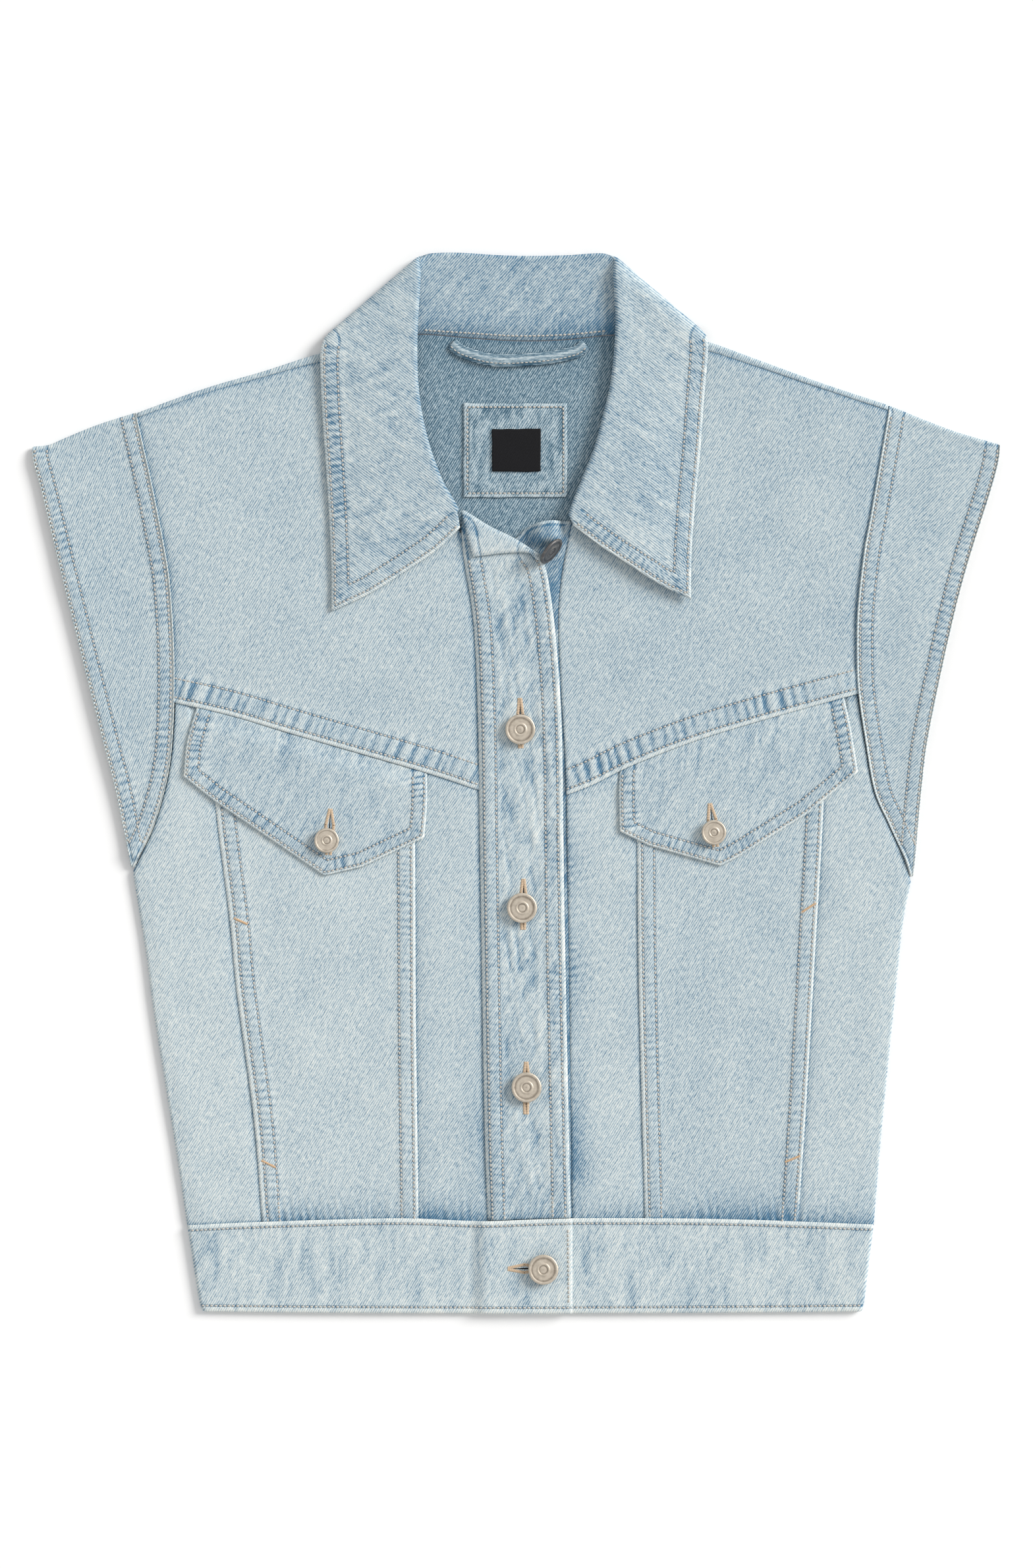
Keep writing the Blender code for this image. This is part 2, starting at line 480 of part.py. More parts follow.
def build_top_placket(finish, group):
    """The top placket rises over the under placket, and its neck end is turned out."""
    turned_z = TOP_Z + PLY2 + LAYER_GAP + PLACKET_LIFT
    reach = (turned_z - TOP_Z) / 2
    (left_x, left_y), (right_x, right_y) = PLACKET_FOLD[0], PLACKET_FOLD[-1]
    slope = math.atan2(right_y - left_y, right_x - left_x)
    normal = (-math.sin(slope), math.cos(slope))
    turned = Across(PLACKET_TURNED)

    def left_edge(y):
        return top_seam(min(y, 140)) + PLACKET_LIFT + 0.8 * ramp(y, 128, 140)

    def height(x, y):
        rise = ramp(x - top_seam(min(y, 140)), 0.3, 4.6)
        return FRONT_Z + PLACKET_LIFT + (TOP_Z - FRONT_Z - PLACKET_LIFT) * rise

    def fold_start(x):
        return placket_fold(x) - (reach + PLY2 / 2) / math.cos(slope)

    rows = panel_points(left_edge, top_edge, waist_seam, fold_start, TOP_PLACKET_ACROSS, TOP_PLACKET_UPS,
                        height)
    last = rows[-1]
    for k in (1, 2, 3, 4):
        angle = math.pi * k / 4
        rows.append([(x + normal[0] * reach * math.sin(angle), y + normal[1] * reach * math.sin(angle),
                      z + (turned_z - z) * (1 - math.cos(angle)) / 2) for x, y, z in last])
    for k in (1, 2, 3):
        line = []
        for u, (x, y, z) in zip(TOP_PLACKET_ACROSS, last):
            end_x = PLACKET_TURNED[0][0] + 1 + (11.5 - PLACKET_TURNED[0][0]) * u
            end_y = min(turned(end_x), y - 1.2)
            line.append((x + (end_x - x) * k / 3, y + (end_y - y) * k / 3, turned_z))
        rows.append(line)
    return cloth_sheet("placket_top", rows, PLY2, finish, group)


def build_waistband(finish, group):
    """One strip round the hem. Its left end laps over its right end at the front."""
    side_l, side_r = Along(WAIST_SIDE_L), Along(WAIST_SIDE_R)
    # where each column stands: at an x, or at an angle round a side fold, then its height
    path = [("at", x, BAND_LAP_Z) for x in (BAND_TOP_END_X, 16, 0, -15)]
    path += [("at", -19, BAND_LAP_Z - 0.7), ("at", -23, BAND_FRONT_Z + 0.5)]
    path += [("at", x, BAND_FRONT_Z) for x in (-28, -55, -85, -115, -145, -170)]
    path += [("left", math.pi * k / 4, 0) for k in range(5)]
    path += [("at", x, BAND_BACK_Z) for x in (-160, -115, -70, -25, 20, 65, 110, 150, 180)]
    path += [("right", math.pi * k / 4, 0) for k in range(5)]
    path += [("at", x, BAND_FRONT_Z) for x in (185, 155, 120, 85, 50, 20, BAND_UNDER_END_X)]
    middle = (BAND_FRONT_Z + BAND_BACK_Z) / 2
    inset = BAND_TURN + PLY2 / 2
    rows = []
    for v in evenly(4):
        line = []
        for kind, value, z in path:
            x, y = value, HEM_MIDDLE_Y
            for _ in range(4):
                if kind == "left":
                    x = side_l(y) + inset - BAND_TURN * math.sin(value)
                    z = middle + BAND_TURN * math.cos(value)
                if kind == "right":
                    x = side_r(y) - inset + BAND_TURN * math.sin(value)
                    z = middle - BAND_TURN * math.cos(value)
                low, high = hem(x), waist_seam(x) - SEAM_GAP / 2
                y = low + (high - low) * v
            line.append((x, y, z))
        rows.append(line)
    return cloth_sheet("waistband", rows, PLY2, finish, group)


def flap_height(x, y):
    return front_height(x, y) + FLAP_RISE


def build_flaps(finish, group):
    """Pointed flaps that hang from the yoke seams over the pocket panels."""
    # name, left side, right side, lower edge, yoke seam
    layout = [
        ("flap_left", FLAP_SIDE_OUT_L, FLAP_SIDE_IN_L, FLAP_POINT_L, yoke_seam_l),
        ("flap_right", FLAP_SIDE_IN_R, FLAP_SIDE_OUT_R, FLAP_POINT_R, yoke_seam_r),
    ]
    for name, left, right, low, seam in layout:
        start, width = low[0][0], low[-1][0] - low[0][0]
        corners = [(x - start) / width for x, _ in low]
        across = []
        for a, b in zip(corners, corners[1:]):
            steps = max(1, round((b - a) * width / 16))
            across += [a + (b - a) * k / steps for k in range(steps)]
        across.append(1.0)
        low_edge = Across(low, straight=True)
        points = panel_points(Along(left), Along(right), low_edge, seam, across, evenly(8), flap_height)
        cloth_sheet(name, points, PLY2, finish, group)


def collar_section(row):
    """One section: up the stand from the neck seam, round the roll and out to the edge."""
    nx, ny, nz, rx, ry, rz, ex, ey, ez, to_angle, side_angle = row
    neck, roll, edge = Vector((nx, ny, nz)), Vector((rx, ry, rz)), Vector((ex, ey, ez))
    side_turn = math.radians(side_angle)
    to = Vector((math.cos(math.radians(to_angle)), math.sin(math.radians(to_angle)), 0.0))
    outward = Vector((-to.y, to.x, 0.0))
    side = outward * math.cos(side_turn) * -1.0 + Vector((0, 0, 1)) * math.sin(side_turn)
    front_share = 0.5 + 0.5 * math.sin(side_turn)
    radius = ROLL_RADIUS_BACK + (ROLL_RADIUS_FRONT - ROLL_RADIUS_BACK) * front_share
    side.normalize()
    centre = roll - to * (radius + COLLAR_CLOTH / 2)
    stand_end, leaf_start = centre - side * radius, centre + side * radius
    points = []
    for share in STAND_SHARES:
        point = neck.lerp(stand_end, share)
        point.z = neck.z + (stand_end.z - neck.z) * ramp(share, 0.0, STAND_SHARES[1])
        points.append(point)
    for k in range(ROLL_ROWS):
        angle = math.pi * k / (ROLL_ROWS - 1)
        points.append(centre + to * (radius * math.sin(angle)) - side * (radius * math.cos(angle)))
    for k in range(1, LEAF_ROWS + 1):
        share = k / LEAF_ROWS
        point = leaf_start.lerp(edge, share)
        held = leaf_start.z + (edge.z - leaf_start.z) * share ** 1.6
        point.z = held if leaf_start.z > edge.z else point.z
        points.append(point)
    return points


def build_collar(finish, group):
    sections = [collar_section(row) for row in COLLAR]
    points = [[section[k] for section in sections] for k in range(len(sections[0]))]
    return cloth_sheet("collar", points, COLLAR_CLOTH, finish, group, even=False)


def build_neck_fittings(denim, black, group):
    """Hanger loop, patch and label on the inside of the back."""
    line = smooth_points(LOOP_LINE, steps=3)
    half = LOOP_WIDTH / 2
    loop_z = CLOTH + LAYER_GAP + LOOP_CLOTH / 2
    rows = []
    for side in (-1, 0, 1):
        edge = []
        for i, (x, y) in enumerate(line):
            ahead = line[min(i + 1, len(line) - 1)] - line[max(i - 1, 0)]
            normal = np.array([-ahead[1], ahead[0]]) / np.hypot(*ahead)
            px, py = x + normal[0] * half * side, y + normal[1] * half * side
            edge.append((px, py, loop_z))
        rows.append(edge)
    cloth_sheet("hanger_loop", rows, LOOP_CLOTH, denim, group)
    patch_z = CLOTH + LAYER_GAP + PATCH["cloth"] / 2
    label_z = CLOTH + 2 * LAYER_GAP + PATCH["cloth"] + LABEL["cloth"] / 2
    for name, spec, z, finish in (("patch", PATCH, patch_z, denim), ("label", LABEL, label_z, black)):
        left, right = spec["left"], spec["right"]
        levels = (spec["bottom"], (spec["bottom"] + spec["top"]) / 2, spec["top"])
        rows = [[(left + (right - left) * i / 3, y, z) for i in range(4)] for y in levels]
        cloth_sheet(name, rows, spec["cloth"], finish, group)


def button_profile(radius):
    """Half section of a shank button about Z, from the crown down its outer side."""
    share = radius / 8.5
    crown, rim = SHANK_HEIGHT + 2.0, SHANK_HEIGHT + 2.4
    shape = [(0.0, crown), (2.5, crown), (3.0, crown - 0.35), (6.4, crown - 0.35), (7.3, rim),
             (8.1, rim - 0.15), (8.5, SHANK_HEIGHT + 1.4), (8.0, SHANK_HEIGHT + 0.5), (4.2, SHANK_HEIGHT),
             (3.4, 0.0), (0.0, 0.0)]
    return [(r * share, z) for r, z in shape]


def build_button(name, radius, finish, group):
    profile = button_profile(radius)
    mesh = bpy.data.meshes.new(name)
    mesh.from_pydata([(r * MM, 0.0, z * MM) for r, z in profile],
                     [(i, i + 1) for i in range(len(profile) - 1)], [])
    button = bpy.data.objects.new(name, mesh)
    group.objects.link(button)
    mesh.materials.append(finish)
    turn = button.modifiers.new("turn", "SCREW")
    turn.axis = "Z"
    turn.angle = math.tau
    turn.steps = BUTTON_SIDES
    turn.render_steps = BUTTON_SIDES
    turn.use_merge_vertices = True
    turn.merge_threshold = 0.00001
    return button


def build_buttons(finish, group):
    surfaces = {
        "placket": lambda x, y: TOP_Z + PLY2 / 2,
        "waistband": lambda x, y: BAND_LAP_Z + PLY2 / 2,
        "flap": lambda x, y: flap_height(x, y) + PLY2 / 2 + 0.05,
    }
    for name, x, y, radius, carrier in BUTTONS:
        button = build_button(name, radius, finish, group)
        button.location = Vector((x, y, surfaces[carrier](x, y) + LAYER_GAP)) * MM
    spec = NECK_BUTTON
    button = build_button("button_neck", spec["radius"], finish, group)
    facing = Matrix.Rotation(math.radians(spec["face_to"]), 4, "Z")
    lean = facing @ Matrix.Rotation(math.radians(spec["tilt"]), 4, "Y")
    centre = Vector((spec["x"], spec["y"], spec["z"])) * MM
    disc = Vector((0, 0, (SHANK_HEIGHT + 1.2) * MM))
    button.matrix_world = Matrix.Translation(centre) @ lean @ Matrix.Translation(-disc)


def main():
    clear_scene()
    group = vest_collection()
    denim = finish_for("denim", "denim", 0.85)
    inside = finish_for("denim_inside", "inside", 0.85)
    black = finish_for("label_cloth", "label", 0.7)
    metal = finish_for("button_metal", "metal", 0.4, 1.0)
    build_back(inside, group)
    build_fronts(denim, group)
    build_sleeve("sleeve_left", SLEEVE_HEM_L, ARMHOLE_L, SLEEVE_TOP_L, SLEEVE_LOW_L, STATIONS_L, denim,
                 group)
    build_sleeve("sleeve_right", SLEEVE_HEM_R, ARMHOLE_R, SLEEVE_TOP_R, SLEEVE_LOW_R, STATIONS_R, denim,
                 group)
    build_under_placket(denim, group)
    build_top_placket(denim, group)
    build_waistband(denim, group)
    build_flaps(denim, group)
    build_collar(denim, group)
    build_neck_fittings(denim, black, group)
    build_buttons(metal, group)


main()
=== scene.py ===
"""Looks of the denim vest: cloth with seams and puckers, topstitching, buttons, floor and light.

Every length is in millimetres until a mesh is made. Each cloth piece is a closed wall built
from the same seam lines as the CAD part, with a denser grid, relief along its seams and
attributes that the denim material reads.
"""
import math

import bpy
import numpy as np
from mathutils import Matrix, Vector
from mathutils.bvhtree import BVHTree


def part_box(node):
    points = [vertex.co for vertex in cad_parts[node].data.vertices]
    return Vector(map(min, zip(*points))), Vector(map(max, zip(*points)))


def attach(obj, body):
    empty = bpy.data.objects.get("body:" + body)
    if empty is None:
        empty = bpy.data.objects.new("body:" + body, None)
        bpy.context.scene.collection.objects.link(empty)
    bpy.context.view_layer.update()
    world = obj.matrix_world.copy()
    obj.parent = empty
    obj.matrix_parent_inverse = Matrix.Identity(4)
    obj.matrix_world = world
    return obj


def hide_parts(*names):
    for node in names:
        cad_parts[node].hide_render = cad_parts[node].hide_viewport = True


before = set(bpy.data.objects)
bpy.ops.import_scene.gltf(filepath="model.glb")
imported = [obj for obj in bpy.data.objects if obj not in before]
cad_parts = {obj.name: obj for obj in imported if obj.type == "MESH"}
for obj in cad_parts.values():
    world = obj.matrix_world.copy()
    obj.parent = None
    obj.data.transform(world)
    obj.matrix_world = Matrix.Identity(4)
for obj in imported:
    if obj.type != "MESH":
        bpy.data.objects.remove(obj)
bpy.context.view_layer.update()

MM = 0.001
UP = np.array([0, 0, 1.0])

# Heights of the layers' middles and walls, as in the CAD part
CLOTH = 1.3
PLY2 = 1.7
BACK_Z = 0.7
FRONT_Z = 3.1
UNDER_Z = 2.6
TOP_Z = 4.7
BAND_BACK_Z = 0.9
BAND_FRONT_Z = 3.3
BAND_LAP_Z = 5.4
EDGE_INSET = 0.52      # from a seam line to a wall's last grid point; the rounded rim fills most of it

# Seam lines seen from above: rows of x, y
ARMHOLE_L = [(-214, 208), (-210, 190), (-205.5, 170), (-197.5, 129.5), (-194.5, 107), (-192.5, 70),
             (-193, 32.5), (-196, 4.5), (-203.5, -23), (-212, -42), (-216, -50)]
ARMHOLE_R = [(210, 209), (207.5, 194.5), (200, 151.5), (196, 129.5), (192.5, 97.5), (192, 70), (193, 50),
             (197, 23), (202, -4.5), (210, -23), (218.5, -42), (223, -55.5)]
SIDE_L = [(-216, -50), (-214.5, -60.5), (-208.5, -97.5), (-203.5, -135), (-191.5, -209), (-185.5, -249.5)]
SIDE_R = [(223, -55.5), (218.5, -79), (214.5, -116), (207, -190.5), (202, -249)]
SLEEVE_HEM_L = [(-273, 189), (-272.5, 181.5), (-267.5, 163), (-254, 107), (-235.5, 32.5),
                (-226, -4.5), (-218.2, -44), (-216.6, -50.5)]
SLEEVE_HEM_R = [(273.5, 191), (272.5, 181.5), (268, 164.5), (250.5, 107), (234, 32.5), (229, -4.5),
                (225.2, -47), (223.6, -56)]
SLEEVE_TOP_L = [(-274, 189.5), (-263.5, 190.5), (-254, 194.5), (-235.5, 202), (-212, 209.5)]
SLEEVE_TOP_R = [(210, 213), (229.5, 205), (248, 198), (266.5, 192.5), (275, 190)]
SLEEVE_LOW_L = [(-222, -46.2), (-212, -48.8)]
SLEEVE_LOW_R = [(216, -54.6), (229, -51.6)]
SHOULDER_FOLD_L = [(-214, 208.5), (-175, 222.5), (-142.5, 232), (-114.5, 241), (-92, 246.5), (-72, 248)]
SHOULDER_FOLD_R = [(72, 251), (90, 251), (107, 249), (136.5, 238.5), (173.5, 225), (210, 213)]
SHOULDER_SEAM_L = [(-214, 205.8), (-175, 219.6), (-142.5, 228.8), (-114.5, 236.5), (-92, 241), (-70, 243)]
SHOULDER_SEAM_R = [(70, 242.6), (88, 244.8), (107, 243.6), (136.5, 234.5), (173.5, 222), (210, 210)]
NECK_BACK = [(-74, 243.5), (-65, 249), (-53, 252.6), (-26, 250.6), (1, 249), (28, 249.6),
             (53, 252.2), (65, 251), (74, 246)]
NECK_FRONT_L = [(-71.5, 245), (-70.5, 236), (-68, 218), (-60.5, 195), (-50.5, 171), (-42, 154),
                (-37, 145)]
NECK_FRONT_R = [(72.5, 247), (71, 238), (67.5, 216), (57.5, 190), (48, 168), (42, 154), (38.5, 148)]
YOKE_SEAM_L = [(-196, 46), (-161, 38), (-124, 27), (-51.5, 6), (-20, -4.5)]
YOKE_SEAM_R = [(27, -7.5), (43.5, -1), (66, 10), (99.5, 23), (136.5, 34.5), (196, 51)]
OUTER_SEAM_L = [(-173, 42), (-169.5, -11), (-161, -79), (-157.5, -116), (-147.5, -190.5), (-143, -249)]
OUTER_SEAM_R = [(174.5, 47), (173.5, -10), (168.5, -97.5), (163.5, -183), (159, -249)]
INNER_SEAM_L = [(-58, 8), (-57, -34.5), (-56.5, -135), (-55, -249)]
INNER_SEAM_R = [(67.5, 11), (68.5, -34.5), (69.5, -116), (73, -249)]
TOP_PLACKET_SEAM = [(-32, 141), (-29, 122), (-24, 88.5), (-21.5, 32.5), (-20.5, -34.5), (-18, -183),
                    (-16, -249)]
TOP_PLACKET_EDGE = [(11, 131), (16.5, 122), (20.5, 99.5), (23.5, 70), (26, 25), (27, -49.5),
                    (28.5, -131), (31, -249)]
UNDER_PLACKET_SEAM = [(32, 146), (27, 122), (24.5, 99.5), (24.5, 77), (26, 47.5), (28.5, 3),
                      (30, -86.5), (32, -249)]
UNDER_PLACKET_NECK = [(-16, 136), (-1, 137.5), (6.5, 144), (17.5, 147.5), (32, 147.5)]
PLACKET_FOLD = [(-32, 156), (-16, 146), (-1, 138.5), (13, 129.5)]
PLACKET_TURNED = [(-25, 127.5), (-8.5, 129.5), (4, 130), (14, 128)]
WAIST_SEAM = [(-186, -249.5), (-142.5, -247.5), (-68, -245.5), (-20, -247), (32, -245.5),
              (118, -246), (202, -249)]
HEM = [(-190, -298), (-105.5, -298.8), (0, -299.2), (118, -298.8), (205, -298)]
WAIST_SIDE_L = [(-185.5, -249), (-183, -265), (-179, -290), (-176.5, -299)]
WAIST_SIDE_R = [(202, -249), (200, -265), (197, -290), (195, -299)]
FLAP_SIDE_OUT_L = [(-180, 43), (-185.5, 23), (-187.5, 3.5)]
FLAP_SIDE_IN_L = [(-50, 8), (-50, -12), (-51.5, -31)]
FLAP_SIDE_IN_R = [(58.5, 9), (58, -4.5), (58.5, -27.5)]
FLAP_SIDE_OUT_R = [(185, 49), (189, 30), (193, 6)]
FLAP_POINT_L = [(-187.5, 3.5), (-170.5, -10), (-133, -35.5), (-108, -52.5), (-86.5, -47.5), (-51.5, -31)]
FLAP_POINT_R = [(58.5, -27.5), (75, -35.5), (115.5, -47), (127, -41), (164.5, -17.5), (193, 6)]

# Collar sections from the left front end round the back to the right front end
COLLAR = [
    # neck x, y, z          roll x, y, z          edge x, y, z           roll to, leaf side
    (-36, 147, 3.7,         -32.2, 154.5, 6.6,    -31.8, 143.4, 6.6,     60,      90),
    (-42, 157, 3.7,         -35.5, 160.5, 6.8,    -45, 131, 5.6,         42,      90),
    (-47.5, 167, 3.7,       -40.5, 169, 7.4,      -62, 119.5, 5.3,       33,      90),
    (-53, 180, 3.7,         -45, 180, 7.4,        -82, 107, 5.2,         25,      90),
    (-58.5, 193, 3.7,       -49, 192, 7.4,        -103.8, 96.8, 5.3,     18,      90),
    (-62.5, 206, 3.6,       -52.5, 207, 7.4,      -103.8, 120, 5.3,      10,      90),
    (-66, 219, 3.6,         -54.8, 224, 7.4,      -105, 150, 5.4,        5,       90),
    (-68, 229, 3.5,         -55.4, 242, 7.4,      -107, 182, 5.4,        2,       90),
    (-68.9, 237, 3.5,       -55, 260, 7.4,        -109, 212, 5.6,        0,       90),
    (-69.1, 241.5, 3.5,     -54, 276, 7.4,        -109.8, 234, 6.4,      5,       90),
    (-69.3, 244, 3.4,       -53.6, 286.6, 7.3,    -109.6, 243, 6.9,      15,      95),
    (-70.1, 245.4, 2.9,     -54.2, 292, 6.4,      -108.6, 248.2, 6.1,    30,      130),
    (-70.5, 246.6, 2.2,     -54, 295.4, 4.5,      -106.4, 251.6, 4.3,    48,      180),
    (-70.2, 247.9, 1.6,     -51.1, 297.4, 2.7,    -103, 254.4, 2.5,      66,      225),
    (-69, 249.2, 1.2,       -47.4, 298.6, 2.1,    -98, 256.8, 1.2,       82,      262),
    (-65, 250.5, 1.1,       -38, 299, 1.8,        -84, 258, 0.9,         90,      270),
    (-53, 253.6, 1.1,       -28, 298.8, 1.8,      -57, 259.5, 0.9,       90,      270),
    (-26, 251.6, 1.1,       -14, 297.8, 1.8,      -28, 258.5, 0.9,       90,      270),
    (1, 250, 1.1,           1, 297.2, 1.8,        0, 258, 0.9,           90,      270),
    (28, 250.6, 1.1,        16, 297.2, 1.8,       28, 258.5, 0.9,        90,      270),
    (53, 253.2, 1.1,        30, 297.6, 1.8,       57, 259.5, 0.9,        90,      270),
    (65, 252, 1.1,          41, 298.4, 1.8,       84, 260, 0.9,          90,      270),
    (69.6, 250.6, 1.2,      48.5, 298.6, 2.1,     97.5, 258.4, 1.2,      98,      278),
    (70.8, 249.4, 1.6,      52.3, 297.4, 2.7,     102.6, 256.2, 2.5,     114,     315),
    (71.2, 248.2, 2.2,      55.2, 295.4, 4.5,     105.6, 253.6, 4.3,     132,     360),
    (70.9, 247, 2.9,        55.4, 292, 6.4,       107.4, 250.4, 6.1,     150,     410),
    (70.2, 245.6, 3.4,      54.8, 286.6, 7.3,     108, 245, 6.9,         165,     445),
    (69.8, 243, 3.5,        55.4, 276, 7.4,       107.4, 236, 6.4,       175,     450),
    (69.2, 238, 3.5,        56, 260, 7.4,         105.6, 214, 5.6,       180,     450),
    (67.5, 229, 3.5,        55.2, 242, 7.4,       103.6, 186, 5.4,       178,     450),
    (65, 216, 3.6,          53, 224, 7.4,         101, 160, 5.6,         173,     450),
    (60.5, 204, 3.6,        49, 207, 7.4,         98.8, 130, 6.2,        168,     450),
    (55.5, 190.5, 3.7,      44.5, 190, 7.4,       98.4, 103.4, 6.9,      160,     450),
    (50, 177, 3.7,          39.5, 177, 7.4,       80, 112.5, 8.2,        152,     450),
    (44.5, 165, 3.7,        35, 166, 7.5,         62, 124, 8.6,          143,     450),
    (39.8, 156, 3.7,        31.5, 157, 7.5,       46, 134.6, 8.4,        130,     450),
    (36.5, 150, 3.7,        29.9, 151, 7.4,       32.4, 145.2, 7.6,      118,     450),
]
LEFT_TIP, RIGHT_TIP = 4, 32        # the rows where the collar's points are
LEFT_BACK, RIGHT_BACK = 12, 25     # the first row of the collar's back, and the first row past it
COLLAR_CLOTH = 1.5

LOOP_LINE = [(-36, 247.5), (-31, 243.5), (-19.5, 239.5), (-8.5, 238), (6.5, 238.5), (21, 240),
             (34, 243), (39, 247)]
LOOP_WIDTH, LOOP_CLOTH = 7.0, 1.4
PATCH_ROW = 2.2         # from the patch's edge to its stitches
# Sides, thickness and height of the middle, and place, depth and width of the groove along the edge
PATCH = dict(left=-29.5, right=29, top=214, bottom=161, cloth=1.0, height=2.2, groove=(PATCH_ROW, 0.12, 0.8))
LABEL = dict(left=-13.5, right=14, top=199.5, bottom=175.5, cloth=1.0, height=3.5, groove=(1.2, 0.05, 0.6))
NECK_RIDGE = dict(x=17.0, y=132.2, height=6.9, rise=4.6, drop=5.0)
NECK_BUTTON = dict(x=19.8, y=130.3, z=10.9, radius=8.5, tilt=71.0, face_to=-40.0)
SHANK_HEIGHT = 1.2


# Numbers and curves
def ramp(value, start, stop):
    """0 before start, 1 after stop, and a smooth rise between them."""
    t = np.clip((np.asarray(value, float) - start) / (stop - start), 0, 1)
    return t * t * (3 - 2 * t)


def bump_at(value, centre, width):
    return np.exp(-((np.asarray(value, float) - centre) / width) ** 2)


LATTICE = np.random.default_rng(17).random((256, 256))


def noise(x, y, size, seed=0):
    """Smooth noise from -1 to 1 with features of about the given size."""
    x, y = np.asarray(x, float) / size + 19.7 * seed + 300, np.asarray(y, float) / size + 7.3 * seed + 300
    i, j = np.floor(x).astype(int), np.floor(y).astype(int)
    fx, fy = x - i, y - j
    fx, fy = fx * fx * (3 - 2 * fx), fy * fy * (3 - 2 * fy)
    a, b = LATTICE[i % 256, j % 256], LATTICE[(i + 1) % 256, j % 256]
    c, d = LATTICE[i % 256, (j + 1) % 256], LATTICE[(i + 1) % 256, (j + 1) % 256]
    return ((a + (b - a) * fx) * (1 - fy) + (c + (d - c) * fx) * fy) * 2 - 1


def catmull_rom(rows, counts):
    """The rows with others between them on a smooth curve; counts says how many steps each stretch has."""
    rows = np.asarray(rows, float)
    padded = np.concatenate([[2 * rows[0] - rows[1]], rows, [2 * rows[-1] - rows[-2]]])
    out = []
    for i, count in enumerate(counts):
        a, b, c, d = padded[i:i + 4]
        for k in range(count):
            t = k / count
            out.append(0.5 * (2 * b + (c - a) * t + (2 * a - 5 * b + 4 * c - d) * t * t
                              + (3 * b - a - 3 * c + d) * t ** 3))
    out.append(rows[-1])
    return np.array(out)


def smooth_points(rows, steps=12):
    return catmull_rom(rows, [steps] * (len(rows) - 1))


def arc_length(points):
    """Length of a path up to each of its points."""
    return np.concatenate([[0], np.cumsum(np.linalg.norm(np.diff(points, axis=0), axis=1))])


def unit_rows(vectors):
    return vectors / np.maximum(np.linalg.norm(vectors, axis=1), 1e-9)[:, None]


class Line:
    """A seam or an edge, seen from above."""

    BLOCK = 4000    # points measured at a time

    def __init__(self, *tables, straight=False):
        parts = [np.array(t, float) if straight else smooth_points(t) for t in tables]
        points = np.vstack(parts)
        keep = np.ones(len(points), bool)
        keep[1:] = np.linalg.norm(np.diff(points, axis=0), axis=1) > 1e-6
        points = points[keep]
        arc = arc_length(points)
        count = max(4, int(arc[-1]))
        self.arc = np.linspace(0, arc[-1], count + 1)
        self.points = np.column_stack([np.interp(self.arc, arc, points[:, k]) for k in (0, 1)])
        self.ahead = unit_rows(np.gradient(self.points, axis=0))
        self.by_y = points[np.argsort(points[:, 1], kind="stable")]
        self.by_x = points[np.argsort(points[:, 0], kind="stable")]

    def x_at(self, y):
        return np.interp(y, self.by_y[:, 1], self.by_y[:, 0])

    def y_at(self, x):
        return np.interp(x, self.by_x[:, 0], self.by_x[:, 1])

    def measure(self, x, y):
        """Distance from the line and place along it, for arrays of points."""
        flat = np.column_stack([np.ravel(x), np.ravel(y)])
        dist, along = np.empty(len(flat)), np.empty(len(flat))
        for start in range(0, len(flat), self.BLOCK):
            part = slice(start, start + self.BLOCK)
            gap = flat[part, None, :] - self.points[None, :, :]
            near = np.argmin((gap ** 2).sum(axis=2), axis=1)
            step = gap[np.arange(len(near)), near]
            forward = (step * self.ahead[near]).sum(axis=1)
            inside = np.clip(self.arc[near] + forward, 0, self.arc[-1]) - self.arc[near]
            dist[part] = np.linalg.norm(step - self.ahead[near] * inside[:, None], axis=1)
            along[part] = self.arc[near] + inside
        return dist.reshape(np.shape(x)), along.reshape(np.shape(x))


armhole_l, armhole_r = Line(ARMHOLE_L), Line(ARMHOLE_R)
outline_l, outline_r = Line(ARMHOLE_L, SIDE_L), Line(ARMHOLE_R, SIDE_R)
yoke_seam_l, yoke_seam_r = Line(YOKE_SEAM_L), Line(YOKE_SEAM_R)
shoulder_l, shoulder_r = Line(SHOULDER_SEAM_L), Line(SHOULDER_SEAM_R)
waist_seam, hem = Line(WAIST_SEAM), Line(HEM)
outer_l, outer_r = Line(OUTER_SEAM_L), Line(OUTER_SEAM_R)
inner_l, inner_r = Line(INNER_SEAM_L), Line(INNER_SEAM_R)
top_seam, top_edge = Line(TOP_PLACKET_SEAM), Line(TOP_PLACKET_EDGE)
under_seam, under_neck = Line(UNDER_PLACKET_SEAM), Line(UNDER_PLACKET_NECK)
placket_fold = Line(PLACKET_FOLD)
neck_edge_l = Line(TOP_PLACKET_SEAM[::-1], NECK_FRONT_L[::-1])
neck_edge_r = Line(UNDER_PLACKET_SEAM[::-1], NECK_FRONT_R[::-1])
sleeve_hem_l, sleeve_hem_r = Line(SLEEVE_HEM_L), Line(SLEEVE_HEM_R)


# Relief
PUCKER_PITCH = 4.1
WIDE_PITCH = 6.4
WIDE_FROM = 12.0        # stitch rows this far from their line have puckers of the wide pitch
SLANT = (1, -1)         # ways that puckers lean, line by line
REACH = 8.0             # of puckers beside a piece that lies on top
SEAM_SINK = 0.6
STITCH_SINK = 0.2
FOLD_RISE = dict(lap=0.55, hem=0.38)
EDGE_FADE = 1.8
FAR = 99.0              # the distance of a stitch row that isn't there


